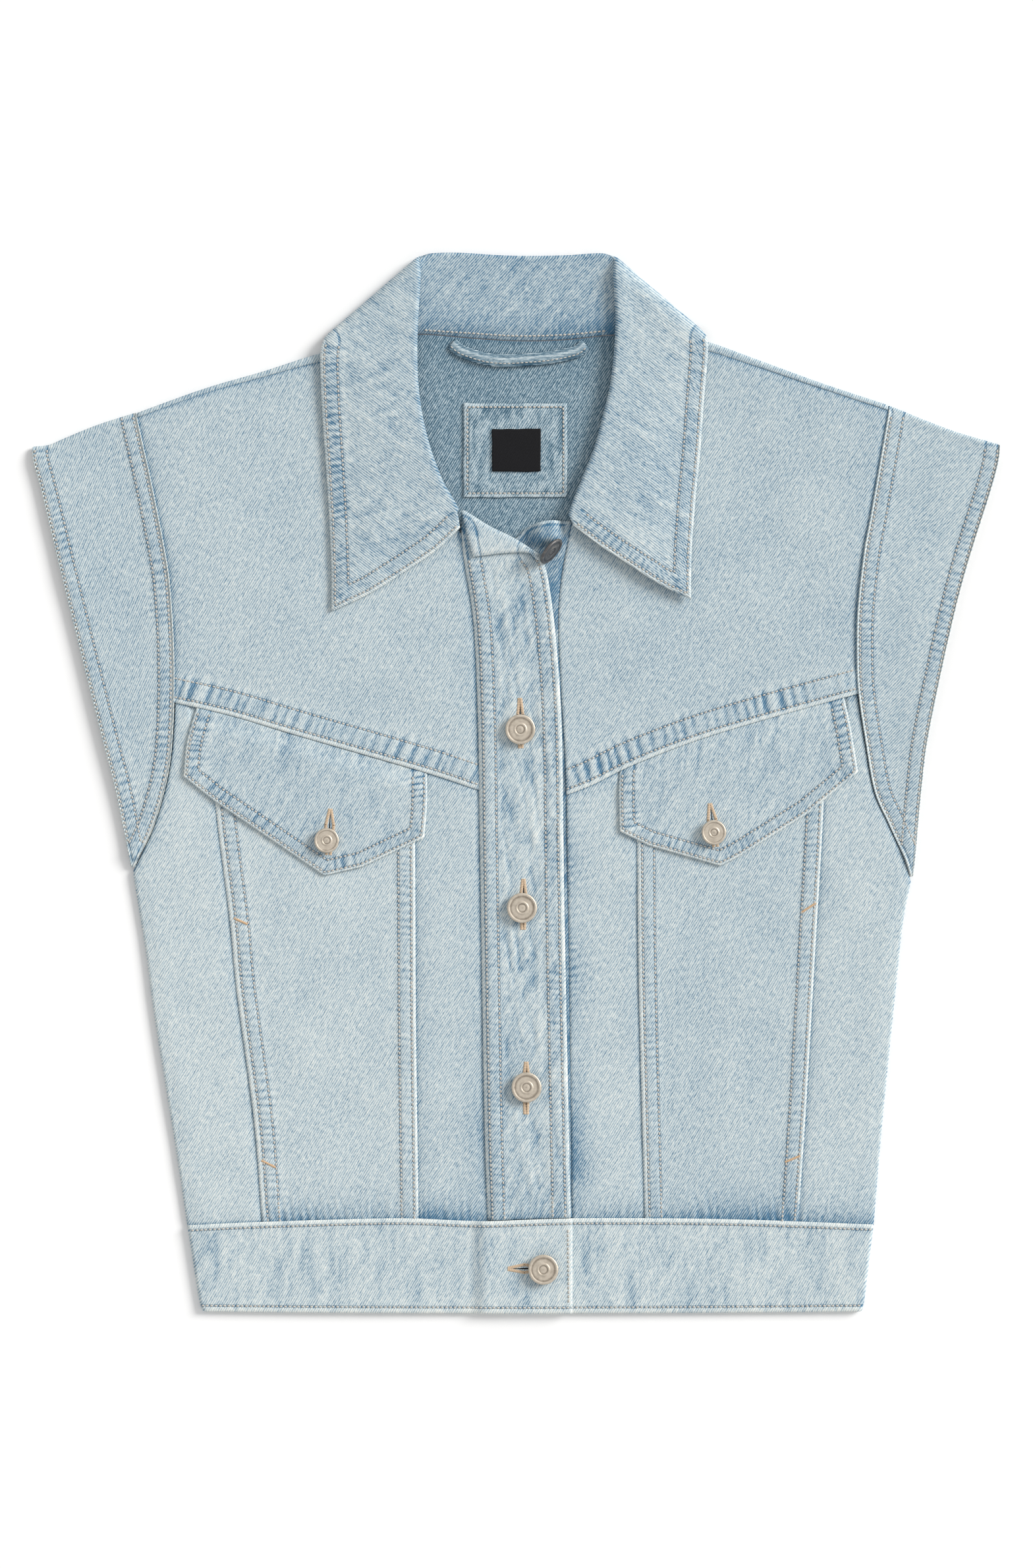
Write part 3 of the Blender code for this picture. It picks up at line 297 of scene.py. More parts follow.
class Seams:
    """What a piece's seams and edges do to its surface.

    rows of line, kind, stitch rows (distances from the line) and strength: a 'lap' piece lies
    on its neighbour, an 'under' piece runs below it, a 'hem' is a folded free edge, and a
    'shade' line only colours the cloth beside it.
    """

    def __init__(self, rows, seed, crease=0.3):
        self.rows, self.seed, self.crease = rows, seed, crease

    def puckers(self, dist, along, stitches, index):
        """Waves along a line, from about -1 to 1, with an uneven pitch and height."""
        seed = self.seed * 5 + index
        slant = along - 0.12 * dist * SLANT[index % 2]
        turns = slant / (WIDE_PITCH if max(stitches, default=0) > WIDE_FROM else PUCKER_PITCH)
        turns = turns + 0.6 * noise(along, dist * 0.3, 12, seed + 1)
        pucker = np.sin(math.tau * turns) * (0.75 + 0.5 * noise(slant, dist * 0.2, 9, seed + 2))
        return pucker + 0.3 * noise(slant, dist * 0.25, 2.4, seed + 3)

    def beside(self, kind, dist, pucker, patchy):
        """Lift, blue and fade of the cloth beside a piece that lies on top of it."""
        window = np.exp(-dist / REACH) * patchy
        if kind == "shade":
            return 0.0, window * (0.55 + 0.5 * pucker), 0.0
        lift = 0.2 * pucker * window - SEAM_SINK * np.exp(-dist / 2.4)
        blue = np.maximum(window * (0.52 + 0.26 * ramp(-pucker, -0.4, 1.2)), 0.75 * np.exp(-dist / 1.3))
        return lift, blue, 0.5 * np.maximum(pucker, 0) * window - 0.4 * np.exp(-dist / 1.6)

    def folded(self, kind, dist, pucker, patchy, stitches):
        """Lift, blue and fade of the plies inside a folded edge, with a groove at each stitch row."""
        width = max(stitches)
        inner = (1 - ramp(dist, width - 1, width + 4)) * patchy
        lift = FOLD_RISE[kind] * (1 - ramp(dist, width - 2, width + 3))
        lift = lift + 0.2 * pucker * inner * ramp(dist, 0.3, 3.0)
        for row in stitches:
            lift = lift - STITCH_SINK * bump_at(dist, row, 0.9)
        fade = EDGE_FADE * bump_at(dist, 0.8, 1.5) + 0.8 * np.maximum(pucker, 0) * inner
        fade = fade + 0.7 * bump_at(dist, width + 3.5, 2.5) * patchy * (0.6 + pucker)
        return lift, 0.8 * inner * ramp(dist, 0.8, 2.8) * ramp(-pucker, -0.3, 1.0), fade

    def at(self, x, y):
        """Lift in millimetres, offsets from the nearest line's stitch rows, blue of the puckers, and fade."""
        short_wave = noise(x, y, 17, self.seed + 3)
        lift = self.crease * (noise(x, y, 46, self.seed) + 0.4 * short_wave)
        fade = 0.25 * short_wave
        blue = np.zeros(np.shape(x))
        nearest, first, second = (np.full(np.shape(x), start) for start in (1e9, FAR, FAR))
        for index, (line, kind, stitches, strength) in enumerate(self.rows):
            dist, along = line.measure(x, y)
            patchy = strength * (0.75 + 0.6 * noise(along, dist * 0.4, 32, self.seed * 5 + index))
            pucker = self.puckers(dist, along, stitches, index)
            if kind in FOLD_RISE:
                more_lift, more_blue, more_fade = self.folded(kind, dist, pucker, patchy, stitches)
            else:
                more_lift, more_blue, more_fade = self.beside(kind, dist, pucker, patchy)
            lift, fade, blue = lift + more_lift, fade + more_fade, np.maximum(blue, more_blue)
            close = dist < nearest
            first = np.where(close, dist - stitches[0] if stitches else FAR, first)
            second = np.where(close, dist - stitches[-1] if stitches else FAR, second)
            nearest = np.minimum(nearest, dist)
        return lift, np.stack([first, second, nearest], axis=-1), blue, fade


# Meshes
PANEL_SPACING = 1.25    # between the points of a front panel
PANEL_COARSE = 3        # every third of them is kept on its underside
# Rows and columns of points in the other pieces
GRIDS = dict(flap=(76, 112), sleeve=(190, 41), back=(150, 180), placket_under=(301, 46),
             placket_top=(321, 43))
BAND_POINTS = 40        # across the waistband
RIM_THIN = 0.78         # share of the thickness that is left along a free edge
RIM_REACH = 0.34        # how far the rounded rim stands out, as a share of the thickness


def grid_normals(points, closed):
    """Unit normals of a grid of points, rows upward and columns to the right."""
    if closed:
        padded = np.concatenate([points[-1:], points, points[:1]], axis=0)
        up = np.gradient(padded, axis=0)[1:-1]
    else:
        up = np.gradient(points, axis=0)
    across = np.gradient(points, axis=1)
    normal = np.cross(across, up)
    return normal / np.maximum(np.linalg.norm(normal, axis=2), 1e-9)[:, :, None]


def grid_faces(ids, flip, wrap):
    """Faces between a grid of point numbers; flip turns them over, wrap joins the last row to the first."""
    if wrap:
        ids = np.vstack([ids, ids[:1]])
    corners = [ids[:-1, :-1], ids[:-1, 1:], ids[1:, 1:], ids[1:, :-1]]
    order = (0, 3, 2, 1) if flip else (0, 1, 2, 3)
    return np.stack([corners[k].ravel() for k in order], axis=1).tolist()


def rim_loops(rows, columns, closed):
    """Row and column numbers round the free edge: one loop of a sheet, or the two ends of a tube."""
    if closed:
        loops = [[(r, 0) for r in range(rows)], [(r, columns - 1) for r in range(rows)][::-1]]
    else:
        loop = [(0, c) for c in range(columns)] + [(r, columns - 1) for r in range(1, rows)]
        loop += [(rows - 1, c) for c in range(columns - 2, -1, -1)]
        loops = [loop + [(r, 0) for r in range(rows - 2, 0, -1)]]
    return [np.array(loop).T for loop in loops]


def add_field(mesh, name, values):
    """A number or a vector at each point of a mesh, for its material to read."""
    values = np.asarray(values, np.float32).reshape(len(mesh.vertices), -1)
    kind, key = ("FLOAT_VECTOR", "vector") if values.shape[1] == 3 else ("FLOAT", "value")
    mesh.attributes.new(name, kind, "POINT").data.foreach_set(key, values.ravel())


def new_piece(name, mesh, finish):
    """A smooth mesh as an object that rides on the vest's one body."""
    mesh.shade_smooth()
    mesh.materials.append(finish)
    piece = bpy.data.objects.new(name, mesh)
    bpy.context.scene.collection.objects.link(piece)
    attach(piece, "root")
    return piece


def wall_mesh(name, points, thickness, fields, closed, coarse):
    """A closed wall about a grid of middle points, with rounded free edges.

    fields are per-point values kept as attributes. coarse keeps every so many points of
    the underside, where the rows and columns less one divide by it.
    """
    rows, columns = points.shape[:2]
    normal = grid_normals(points, closed)
    half = np.full((rows, columns, 1), thickness / 2)
    half[:, [0, -1]] *= RIM_THIN
    if not closed:
        half[[0, -1]] *= RIM_THIN
    top_id = np.arange(rows * columns).reshape(rows, columns)
    kept = np.ix_(np.arange(0, rows, coarse), np.arange(0, columns, coarse))
    low_points = (points - normal * half)[kept]
    low_id = rows * columns + np.arange(top_id[kept].size).reshape(top_id[kept].shape)
    verts = [(points + normal * half).reshape(-1, 3), low_points.reshape(-1, 3)]
    source = [top_id.ravel(), top_id[kept].ravel()]
    faces = grid_faces(top_id, False, closed) + grid_faces(low_id, True, closed)
    base = rows * columns + low_id.size
    for r, c in rim_loops(rows, columns, closed):
        inner_r = r if closed else np.clip(r, 1, rows - 2)
        out = unit_rows(points[r, c] - points[inner_r, np.clip(c, 1, columns - 2)])
        verts.append(points[r, c] + out * thickness * RIM_REACH)
        source.append(top_id[r, c])
        count = len(r)
        rim_id = base + np.arange(count)
        base += count
        for k in range(count):
            n = (k + 1) % count
            faces.append([top_id[r[n], c[n]], top_id[r[k], c[k]], rim_id[k], rim_id[n]])
        for k in range(0, count, coarse):
            n = (k + coarse) % count
            fine = [rim_id[(k + j) % count] for j in range(coarse + 1)]
            faces.append(fine[::-1] + [low_id[r[i] // coarse, c[i] // coarse] for i in (k, n)])
    mesh = bpy.data.meshes.new(name)
    mesh.from_pydata((np.vstack(verts) * MM).tolist(), [], [[int(i) for i in f] for f in faces])
    source = np.concatenate(source)
    for field, values in fields.items():
        add_field(mesh, field, np.reshape(values, (rows * columns, -1))[source])
    return mesh


def grain_field(x, y, angle, offset):
    """Cloth coordinates in millimetres: along the twill line, and across it."""
    a = math.radians(angle)
    along = x * math.cos(a) + y * math.sin(a) + offset[0]
    across = -x * math.sin(a) + y * math.cos(a) + offset[1]
    return np.stack([along, across, np.zeros_like(along)], axis=-1)


pieces = {}


def add_cloth(name, points, thickness, finish, nodes, fields, closed=False, coarse=1,
              lining=None):
    """A wall as one piece of the vest; the lining is the look of its underside."""
    piece = new_piece(name, wall_mesh(name, points, thickness, fields, closed, coarse), finish)
    if lining:
        piece.data.materials.append(lining)
        inner = np.ones(len(piece.data.polygons), np.int32)
        inner[:(points.shape[0] - 1) * (points.shape[1] - 1)] = 0
        piece.data.polygons.foreach_set("material_index", inner)
    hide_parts(*nodes)
    pieces[name] = piece


def counted(length):
    """How many points a panel takes along a length, one more than a multiple of its coarse step."""
    return max(2, round(length / PANEL_SPACING / PANEL_COARSE)) * PANEL_COARSE + 1


def plan_grid(left, right, bottom, top, rows, columns, insets=(EDGE_INSET,) * 4):
    """Plan points between four lines, given as functions of y, y, x and x."""
    in_left, in_right, in_bottom, in_top = insets
    u = np.linspace(0, 1, columns)[None, :]
    v = np.linspace(0, 1, rows)[:, None]
    y = np.full((rows, columns), 0.5 * float(bottom(0.0) + top(0.0)))
    x = np.zeros((rows, columns))
    for _ in range(40):
        x = (left(y) + in_left) * (1 - u) + (right(y) - in_right) * u
        y = (bottom(x) + in_bottom) * (1 - v) + (top(x) - in_top) * v
    return x, y


def front_height(x, y):
    """Middle of the front layer: a soft swell that sinks towards the sides below the armholes."""
    edge = np.minimum(x - outline_l.x_at(y), outline_r.x_at(y) - x)
    swell = 0.35 * np.sin(math.pi * ramp(y, -250, 210)) * ramp(edge, 10, 90)
    sink = 0.5 * (1 - ramp(edge, 0, 9)) * (1 - ramp(y, -62, -44))
    return FRONT_Z + swell - sink


def add_streaks(fields, along, across, size, seed, amount):
    """Worn ridges and blue valleys that run the way that across stays the same."""
    streak = noise(across, along * 0.11, size, seed) + 0.8 * noise(across, along * 0.16, size * 0.5, seed + 1)
    streak = streak * (0.7 + 0.5 * noise(across, along, size * 5, seed + 2))
    fields["blue"] = np.maximum(fields["blue"], 0.42 * amount * ramp(-streak, -0.1, 1.2))
    fields["fade"] = fields["fade"] + 0.8 * amount * np.maximum(streak, 0)
    return streak


def fields_of(x, y, angle, relief, seed, wear, crinkle=0.12):
    """The attributes that the denim reads: cloth place, stitch rows, and blue, fade and crinkle from 0 up."""
    _, rows, blue, fade = relief
    return {"grain": grain_field(x, y, angle, (seed * 131.0, seed * 57.0)), "rows": rows, "blue": blue,
            "fade": fade + wear, "crinkle": np.full_like(x, crinkle)}


# Materials
SHADER_INPUTS = dict(specular="Specular IOR Level", metallic="Metallic")


class Graph:
    """Short calls for building a material's nodes."""

    def __init__(self, name):
        self.material = bpy.data.materials.new(name)
        self.material.use_nodes = True
        self.tree = self.material.node_tree
        self.shader = self.tree.nodes["Principled BSDF"]

    def put(self, socket, value):
        if isinstance(value, bpy.types.NodeSocket):
            self.tree.links.new(value, socket)
        else:
            socket.default_value = value

    def node(self, kind, inputs, output=0, **settings):
        """An output of a new node, whose inputs are given by number or name."""
        node = self.tree.nodes.new("ShaderNode" + kind)
        for key, value in settings.items():
            setattr(node, key, value)
        for key, value in inputs.items():
            self.put(node.inputs[key], value)
        return node.outputs[output]

    def field(self, name, output="Fac"):
        return self.node("Attribute", {}, output, attribute_name=name)

    def math(self, operation, a, b=0.0):
        return self.node("Math", {0: a, 1: b}, operation=operation)

    def split(self, vector):
        """The x and the y of a vector."""
        return [self.node("SeparateXYZ", {0: vector}, axis) for axis in "XY"]

    def noise(self, place, stretch, detail=2.0, rough=0.5):
        """Noise from 0 to 1; stretch is how many features there are to a unit, axis by axis."""
        place = self.node("VectorMath", {0: place, 1: stretch}, operation="MULTIPLY")
        inputs = {"Vector": place, "Scale": 1.0, "Detail": detail, "Roughness": rough}
        return self.node("TexNoise", inputs, "Fac")

    def shift(self, value, amount):
        """A 0 to 1 value as a change of up to half the amount either way."""
        return self.math("MULTIPLY", self.math("SUBTRACT", value, 0.5), amount)

    def smooth(self, value, low, high):
        return self.node("MapRange", {"Value": value, "From Min": low, "From Max": high}, "Result",
                         interpolation_type="SMOOTHSTEP")

    def look(self, value, stops, roughness, **others):
        """Colour the surface by a value, with stops of place and screen colour, and set its other inputs."""
        node = self.tree.nodes.new("ShaderNodeValToRGB")
        ramp_stops = node.color_ramp.elements
        while len(ramp_stops) < len(stops):
            ramp_stops.new(0.5)
        for stop, (place, colour) in zip(ramp_stops, stops):
            stop.position = place
            stop.color = (*from_screen(*colour), 1.0)
        self.put(node.inputs["Fac"], value)
        self.put(self.shader.inputs["Base Color"], node.outputs["Color"])
        self.put(self.shader.inputs["Roughness"], roughness)
        for name, setting in others.items():
            self.put(self.shader.inputs[SHADER_INPUTS[name]], setting)

    def bump(self, height, distance, strength):
        inputs = {"Height": height, "Distance": distance, "Strength": strength}
        self.put(self.shader.inputs["Normal"], self.node("Bump", inputs, "Normal"))


def from_screen(red, green, blue):
    """A colour as seen on a screen, 0 to 255, as the shader's linear values."""
    return tuple(((v / 255 + 0.055) / 1.055) ** 2.4 for v in (red, green, blue))


TWILL_PITCH = 1.17
DENIM_NOISE = {
    # features to a millimetre along and across the twill, detail, roughness
    "slub": ((0.22, 1.1, 0.0), 2.0, 0.6),
    "fleck": ((0.9, 1.9, 0.0), 2.0, 0.65),
    "cloud": ((0.022, 0.026, 0.0), 2.0, 0.55),
    "patch": ((0.13, 0.2, 0.0), 2.0, 0.6),
    "mottle": ((0.38, 0.72, 0.0), 1.0, 0.5),
}
DENIM_SHARES = {
    # share in the colour, from dark to light, and in the relief
    "line": (0.2, 0.12),
    "slub": (0.32, 0.35),
    "fleck": (0.6, 0.4),
    "cloud": (0.06, 0.0),
    "patch": (0.12, 0.0),
    "mottle": (0.7, 0.4),
    "fade": (0.13, 0.0),
    "blue": (-0.5, -0.4),
    "crinkle": (0.62, 1.6),
    # groove: its colour share is painted shadow of the thread along each stitch row, its relief share the
    # groove there
    "groove": (-0.3, -0.6),
}


def denim(name, tone=0.5, contrast=1.0, dark=(70, 114, 145), middle=(184, 199, 205), light=(234, 236, 230)):
    """Washed twill: pale lines over blue ones, slubs, cloudy wash, and blue puckers at seams."""
    g = Graph(name)
    grain = g.field("grain", "Vector")
    parts = {}
    for key, (stretch, detail, rough) in DENIM_NOISE.items():
        parts[key] = g.math("SUBTRACT", g.noise(grain, stretch, detail, rough), 0.5)
    _, across = g.split(grain)
    wander = g.shift(g.noise(grain, (0.06, 0.1, 0.0)), 0.7)
    phase = g.math("ADD", g.math("MULTIPLY", across, 1 / TWILL_PITCH), wander)
    parts["line"] = g.math("SINE", g.math("MULTIPLY", phase, math.tau))
    parts["fade"] = g.field("fade")
    parts["blue"] = g.math("MULTIPLY", g.field("blue"), g.math("ADD", parts["fleck"], 1.0))
    folds = g.noise(grain, (0.06, 0.24, 0.0))
    parts["crinkle"] = g.math("MULTIPLY", g.shift(folds, 2.0), g.field("crinkle"))
    first, second = g.split(g.field("rows", "Vector"))
    nearest = g.math("MINIMUM", g.math("ABSOLUTE", first), g.math("ABSOLUTE", second))
    # Near each stitch row: a groove in the relief, and painted shadow of the thread in the colour
    parts["groove"] = g.math("SUBTRACT", 1.0, g.smooth(nearest, 0.3, 1.05))
    value, height = tone, 0.0
    for key, (shade, rise) in DENIM_SHARES.items():
        if key == "line" or key in DENIM_NOISE:
            shade *= contrast
        value = g.math("ADD", value, g.math("MULTIPLY", parts[key], shade))
        if rise:
            height = g.math("ADD", height, g.math("MULTIPLY", parts[key], rise))
    g.look(value, [(0.0, dark), (0.5, middle), (1.0, light)], roughness=0.86, specular=0.25)
    g.bump(height, distance=0.00035, strength=0.9)
    return g.material


def thread(name, colour, dark):
    """Sewing thread: paler in the middle of a stitch, with painted shade where it dives into the cloth."""
    g = Graph(name)
    twist = g.noise(g.field("grain", "Vector"), (1.2, 1.2, 1.2))
    value = g.math("ADD", g.field("along"), g.shift(twist, 0.5))
    # The dark stop, at a stitch's ends, is painted shade where the thread dives into the cloth
    g.look(value, [(0.0, dark), (0.55, colour), (1.0, [c + 18 for c in colour])], roughness=0.6)
    g.bump(twist, distance=0.0002, strength=0.6)
    return g.material


def metal(name, dark, middle, light):
    """Worn metal, darker where its fade attribute is low: in the buttons' grooves, and as painted shade under
    their discs.
    """
    g = Graph(name)
    wear = g.noise(g.field("grain", "Vector"), (0.35, 0.35, 0.35), detail=4.0, rough=0.6)
    value = g.math("ADD", g.shift(wear, 0.5), g.field("fade"))
    roughness = g.math("ADD", g.math("MULTIPLY", wear, 0.25), 0.34)
    g.look(value, [(0.0, dark), (0.5, middle), (1.0, light)], roughness, metallic=0.55)
    g.bump(wear, distance=0.0002, strength=0.25)
    return g.material


def woven_black(name):
    g = Graph(name)
    place = g.field("grain", "Vector")
    warp, weft = [g.math("SINE", g.math("MULTIPLY", way, 9.0)) for way in g.split(place)]
    weave = g.math("MULTIPLY", warp, weft)
    fuzz = g.shift(g.noise(place, (0.9, 0.9, 0.9), detail=3.0), 0.6)
    value = g.math("ADD", g.math("ADD", g.math("MULTIPLY", weave, 0.12), 0.5), fuzz)
    g.look(value, [(0.0, (10, 10, 12)), (1.0, (34, 34, 37))], roughness=0.85, specular=0.2)
    g.bump(weave, distance=0.0001, strength=0.5)
    return g.material


body_denim = denim("denim_body")
inside_denim = denim("denim_inside", tone=0.47, contrast=1.6, dark=(60, 92, 112), middle=(132, 157, 171),
                     light=(198, 210, 214))
sewing = thread("thread_grey", (180, 177, 170), (66, 78, 92))
tan_thread = thread("thread_tan", (206, 182, 154), (136, 112, 92))
tack_thread = thread("thread_orange", (208, 176, 140), (158, 122, 92))
slit_black = woven_black("slit_shadow")
label_black = woven_black("label_weave")
button_metal = metal("button_metal", (110, 98, 86), (205, 194, 178), (240, 232, 220))
shaded_metal = metal("button_metal_shaded", (38, 40, 46), (104, 102, 102), (214, 208, 198))


# Front panels
GRAIN = dict(body=58.0, sleeve_left=66.0, sleeve_right=47.0, collar_leaf=142.0, collar_back=48.0)
FLAP_EDGES = dict(flap_left=(FLAP_SIDE_OUT_L, FLAP_SIDE_IN_L), flap_right=(FLAP_SIDE_IN_R, FLAP_SIDE_OUT_R))
FLAPS = {
    # side lines, lower edge, yoke seam and the span of x that the flap covers
    "flap_left": dict(left=Line(FLAP_SIDE_OUT_L), right=Line(FLAP_SIDE_IN_L),
                      low=Line(FLAP_POINT_L, straight=True), seam=yoke_seam_l, span=(-184, -50)),
    "flap_right": dict(left=Line(FLAP_SIDE_IN_R), right=Line(FLAP_SIDE_OUT_R),
                       low=Line(FLAP_POINT_R, straight=True), seam=yoke_seam_r, span=(58, 187)),
}


FLAP_SPREAD = 0.45      # how far a flap and the yoke over it lie up at their seam
FLAP_PRESS = 0.85       # how far the panels below the seam lie down for the flap
FLAP_OVER = 1.75        # a flap's middle over the front layer's, away from the seam


def flap_window(x, margin):
    """1 inside the span of either flap, easing to 0 over the margin outside it."""
    total = 0.0
    for flap in FLAPS.values():
        low, high = flap["span"]
        total = total + ramp(x, low - margin, low + margin) * (1 - ramp(x, high - margin, high + margin))
    return total


def below_yoke(x, y):
    """How far a point lies below the yoke seam."""
    seam = np.where(x < 0, yoke_seam_l.y_at(x), yoke_seam_r.y_at(x))
    return seam - y


def panel_height(x, y, name):
    z = front_height(x, y)
    if name.startswith("yoke"):
        return z + FLAP_SPREAD * flap_window(x, 2.0) * (1 - ramp(-below_yoke(x, y), 1.0, 16.0))
    return z - FLAP_PRESS * flap_window(x, 1.0) * (1 - ramp(below_yoke(x, y), 3.0, 14.0))


PANEL_WEAR = dict(yoke_left=-0.1, yoke_right=-0.25, side_panel_left=0.6, side_panel_right=0.3,
                  pocket_panel_left=0.3, pocket_panel_right=-0.1, centre_front_left=0.2,
                  centre_front_right=0.35)
SIDE_INSETS = dict(lap=0.25, under=-0.9, shade=0.1)    # a lap comes to the seam line, a lower edge passes it
WORN_EDGES = dict(centre_front_left=(top_seam, 0.6), centre_front_right=(under_seam, 1.0))


def build_panel(name, left, right, bottom, top, seams, seed):
    """A front panel between four lines, which lie at its left, right, bottom and top."""
    middle_y = 0.5 * float(bottom.y_at((left.x_at(0) + right.x_at(0)) / 2) + top.y_at(0))
    width = abs(float(right.x_at(middle_y) - left.x_at(middle_y)))
    height = float(np.max(top.points[:, 1]) - np.min(bottom.points[:, 1]))
    rows, columns = counted(height), counted(width)
    kinds = {line: kind for line, kind, _, _ in seams}
    kinds.update({neck_edge_l: "under", neck_edge_r: "shade"})
    insets = [SIDE_INSETS.get(kinds.get(line), EDGE_INSET) for line in (left, right, bottom, top)]
    x, y = plan_grid(left.x_at, right.x_at, bottom.y_at, top.y_at, rows, columns, insets)
    relief = Seams(seams, seed).at(x, y)
    points = np.stack([x, y, panel_height(x, y, name) + relief[0]], axis=-1)
    angle = GRAIN["body"] + 1.5 * math.sin(seed * 2.1)
    fields = fields_of(x, y, angle, relief, seed, PANEL_WEAR[name])
    near_waist = np.exp(-(y - waist_seam.y_at(x)) / 13) * (0.7 + 0.6 * noise(x, y, 30, seed))
    streak = add_streaks(fields, y, x - 0.15 * y, 3.2, seed + 60, 0.12 + 0.5 * near_waist)
    points[:, :, 2] += 0.2 * near_waist * streak
    if name in WORN_EDGES:
        edge, amount = WORN_EDGES[name]
        worn = np.exp(-np.abs(x - edge.x_at(y)) / 8) * (1 - ramp(y, -205, -120))
        worn = worn * (0.75 + 0.4 * noise(x, y * 0.4, 8, 9))
        fields["blue"] = np.maximum(fields["blue"], worn * amount)
    add_cloth("vest_" + name, points, CLOTH, body_denim, [name], fields, coarse=PANEL_COARSE)


def under(*lines):
    """Rows of Seams for a piece that runs below these lines, which pucker most at the waist."""
    strong = {waist_seam: 1.6, yoke_seam_l: 0.6, yoke_seam_r: 0.6}
    return [(line, "under", (), strong.get(line, 0.3)) for line in lines]


# Distances of the stitch rows from their seam
YOKE_ROWS = (3.0, 13.4)
OUTER_ROWS_L, OUTER_ROWS_R = (3.3, 10.0), (1.9, 8.9)
INNER_ROWS_L, INNER_ROWS_R = (2.2, 9.3), (2.6, 9.3)
build_panel("yoke_left", armhole_l, neck_edge_l, yoke_seam_l, shoulder_l,
            [(yoke_seam_l, "lap", YOKE_ROWS, 1.05)] + under(armhole_l, top_seam, shoulder_l), 1)
build_panel("yoke_right", neck_edge_r, armhole_r, yoke_seam_r, shoulder_r,
            [(yoke_seam_r, "lap", YOKE_ROWS, 1.05)] + under(armhole_r, shoulder_r), 2)
build_panel("side_panel_left", outline_l, outer_l, waist_seam, yoke_seam_l,
            under(yoke_seam_l, outer_l, waist_seam, armhole_l), 3)
build_panel("pocket_panel_left", outer_l, inner_l, waist_seam, yoke_seam_l,
            [(outer_l, "lap", OUTER_ROWS_L, 0.65), (inner_l, "lap", INNER_ROWS_L, 0.5)]
            + under(yoke_seam_l, waist_seam), 4)
build_panel("centre_front_left", inner_l, top_seam, waist_seam, yoke_seam_l,
            under(inner_l, top_seam, yoke_seam_l, waist_seam), 5)
build_panel("centre_front_right", under_seam, inner_r, waist_seam, yoke_seam_r,
            under(inner_r, yoke_seam_r, waist_seam) + [(under_seam, "shade", (), 0.8)], 6)
build_panel("pocket_panel_right", inner_r, outer_r, waist_seam, yoke_seam_r,
            [(outer_r, "lap", OUTER_ROWS_R, 0.65), (inner_r, "lap", INNER_ROWS_R, 0.5)]
            + under(yoke_seam_r, waist_seam), 7)
build_panel("side_panel_right", outer_r, outline_r, waist_seam, yoke_seam_r,
            under(yoke_seam_r, outer_r, waist_seam, armhole_r), 8)


# Flaps
FLAP_ROWS = (1.9, 8.2)
FLAP_CLOTH = 1.5


def build_flap(name, seed):
    spec = FLAPS[name]
    low, left, right = spec["low"], spec["left"], spec["right"]
    x, y = plan_grid(left.x_at, right.x_at, low.y_at, spec["seam"].y_at, *GRIDS["flap"])
    relief = Seams([(line, "hem", FLAP_ROWS, 0.9) for line in (low, left, right)], seed).at(x, y)
    down = below_yoke(x, y)
    off_seam = ramp(down, 0, 13)
    base = (FRONT_Z + FLAP_SPREAD) * (1 - off_seam) + (front_height(x, y) + FLAP_OVER) * off_seam
    points = np.stack([x, y, base + relief[0] * 0.8], axis=-1)
    fields = fields_of(x, y, GRAIN["body"], relief, seed, -0.35, crinkle=0.3)
    streak = add_streaks(fields, y, x - 0.1 * y, 3.2, seed + 40, 0.35 + 1.1 * np.exp(-down / 9))
    points[:, :, 2] += 0.15 * np.exp(-down / 9) * streak
    add_cloth("vest_" + name, points, FLAP_CLOTH, body_denim, [name], fields, coarse=3)


build_flap("flap_left", 11)
build_flap("flap_right", 12)


# Sleeves
SLEEVE_ROWS, HEM_ROWS = (2.2, 8.9), (1.7, 8.6)
SLEEVE_TURN = (FRONT_Z - BACK_Z) / 2    # radius of the turns, also where the back comes over the shoulders
TURN_STEPS = 8


def build_sleeve(name, hem_line, armhole, top, low, seed):
    """A flat tube: the front from low to top, a turn, the back from top to low, and a turn."""
    left, right = (hem_line, armhole) if name.endswith("left") else (armhole, hem_line)
    top_line, low_line = Line(top), Line(low)
    inset = SLEEVE_TURN + CLOTH / 2 - EDGE_INSET
    rows, columns = GRIDS["sleeve"]
    x, y = plan_grid(left.x_at, right.x_at, lambda x: low_line.y_at(x) + inset,
                     lambda x: top_line.y_at(x) - inset, rows, columns)
    v = np.linspace(0, 1, rows)[:, None]
    u = np.linspace(0, 1, columns)[None, :]
    x = x + 0.3 * (1 - ramp(v, 0.0, 0.1)) * (0.5 - u) * 2
    seams = Seams([(armhole, "lap", SLEEVE_ROWS, 0.6), (hem_line, "hem", HEM_ROWS, 0.6)], seed)
    ends = ramp(v, 0, 0.02) * (1 - ramp(v, 0.98, 1))
    front = np.stack([x, y, FRONT_Z + 0.7 * np.sin(math.pi * v) + seams.at(x, y)[0] * ends], axis=-1)
    back = np.stack([x, y, np.full_like(x, BACK_Z)], axis=-1)

    def turn(line, way):
        steps = []
        for k in range(1, TURN_STEPS):
            angle = math.pi * k / TURN_STEPS
            step = line.copy()
            step[:, 1] += way * SLEEVE_TURN * math.sin(angle)
            step[:, 2] = (FRONT_Z + BACK_Z) / 2 + way * SLEEVE_TURN * math.cos(angle)
            steps.append(step)
        return np.array(steps)

    points = np.concatenate([front, turn(front[-1], 1), back[::-1], turn(back[0], -1)], axis=0)
    x, y = points[:, :, 0], points[:, :, 1]
    fields = fields_of(x, y, GRAIN[name], seams.at(x, y), seed, -0.35)
    add_cloth("vest_" + name, points, CLOTH, body_denim, [name], fields, closed=True, coarse=2)


build_sleeve("sleeve_left", sleeve_hem_l, armhole_l, SLEEVE_TOP_L, SLEEVE_LOW_L, 21)
build_sleeve("sleeve_right", sleeve_hem_r, armhole_r, SLEEVE_TOP_R, SLEEVE_LOW_R, 22)


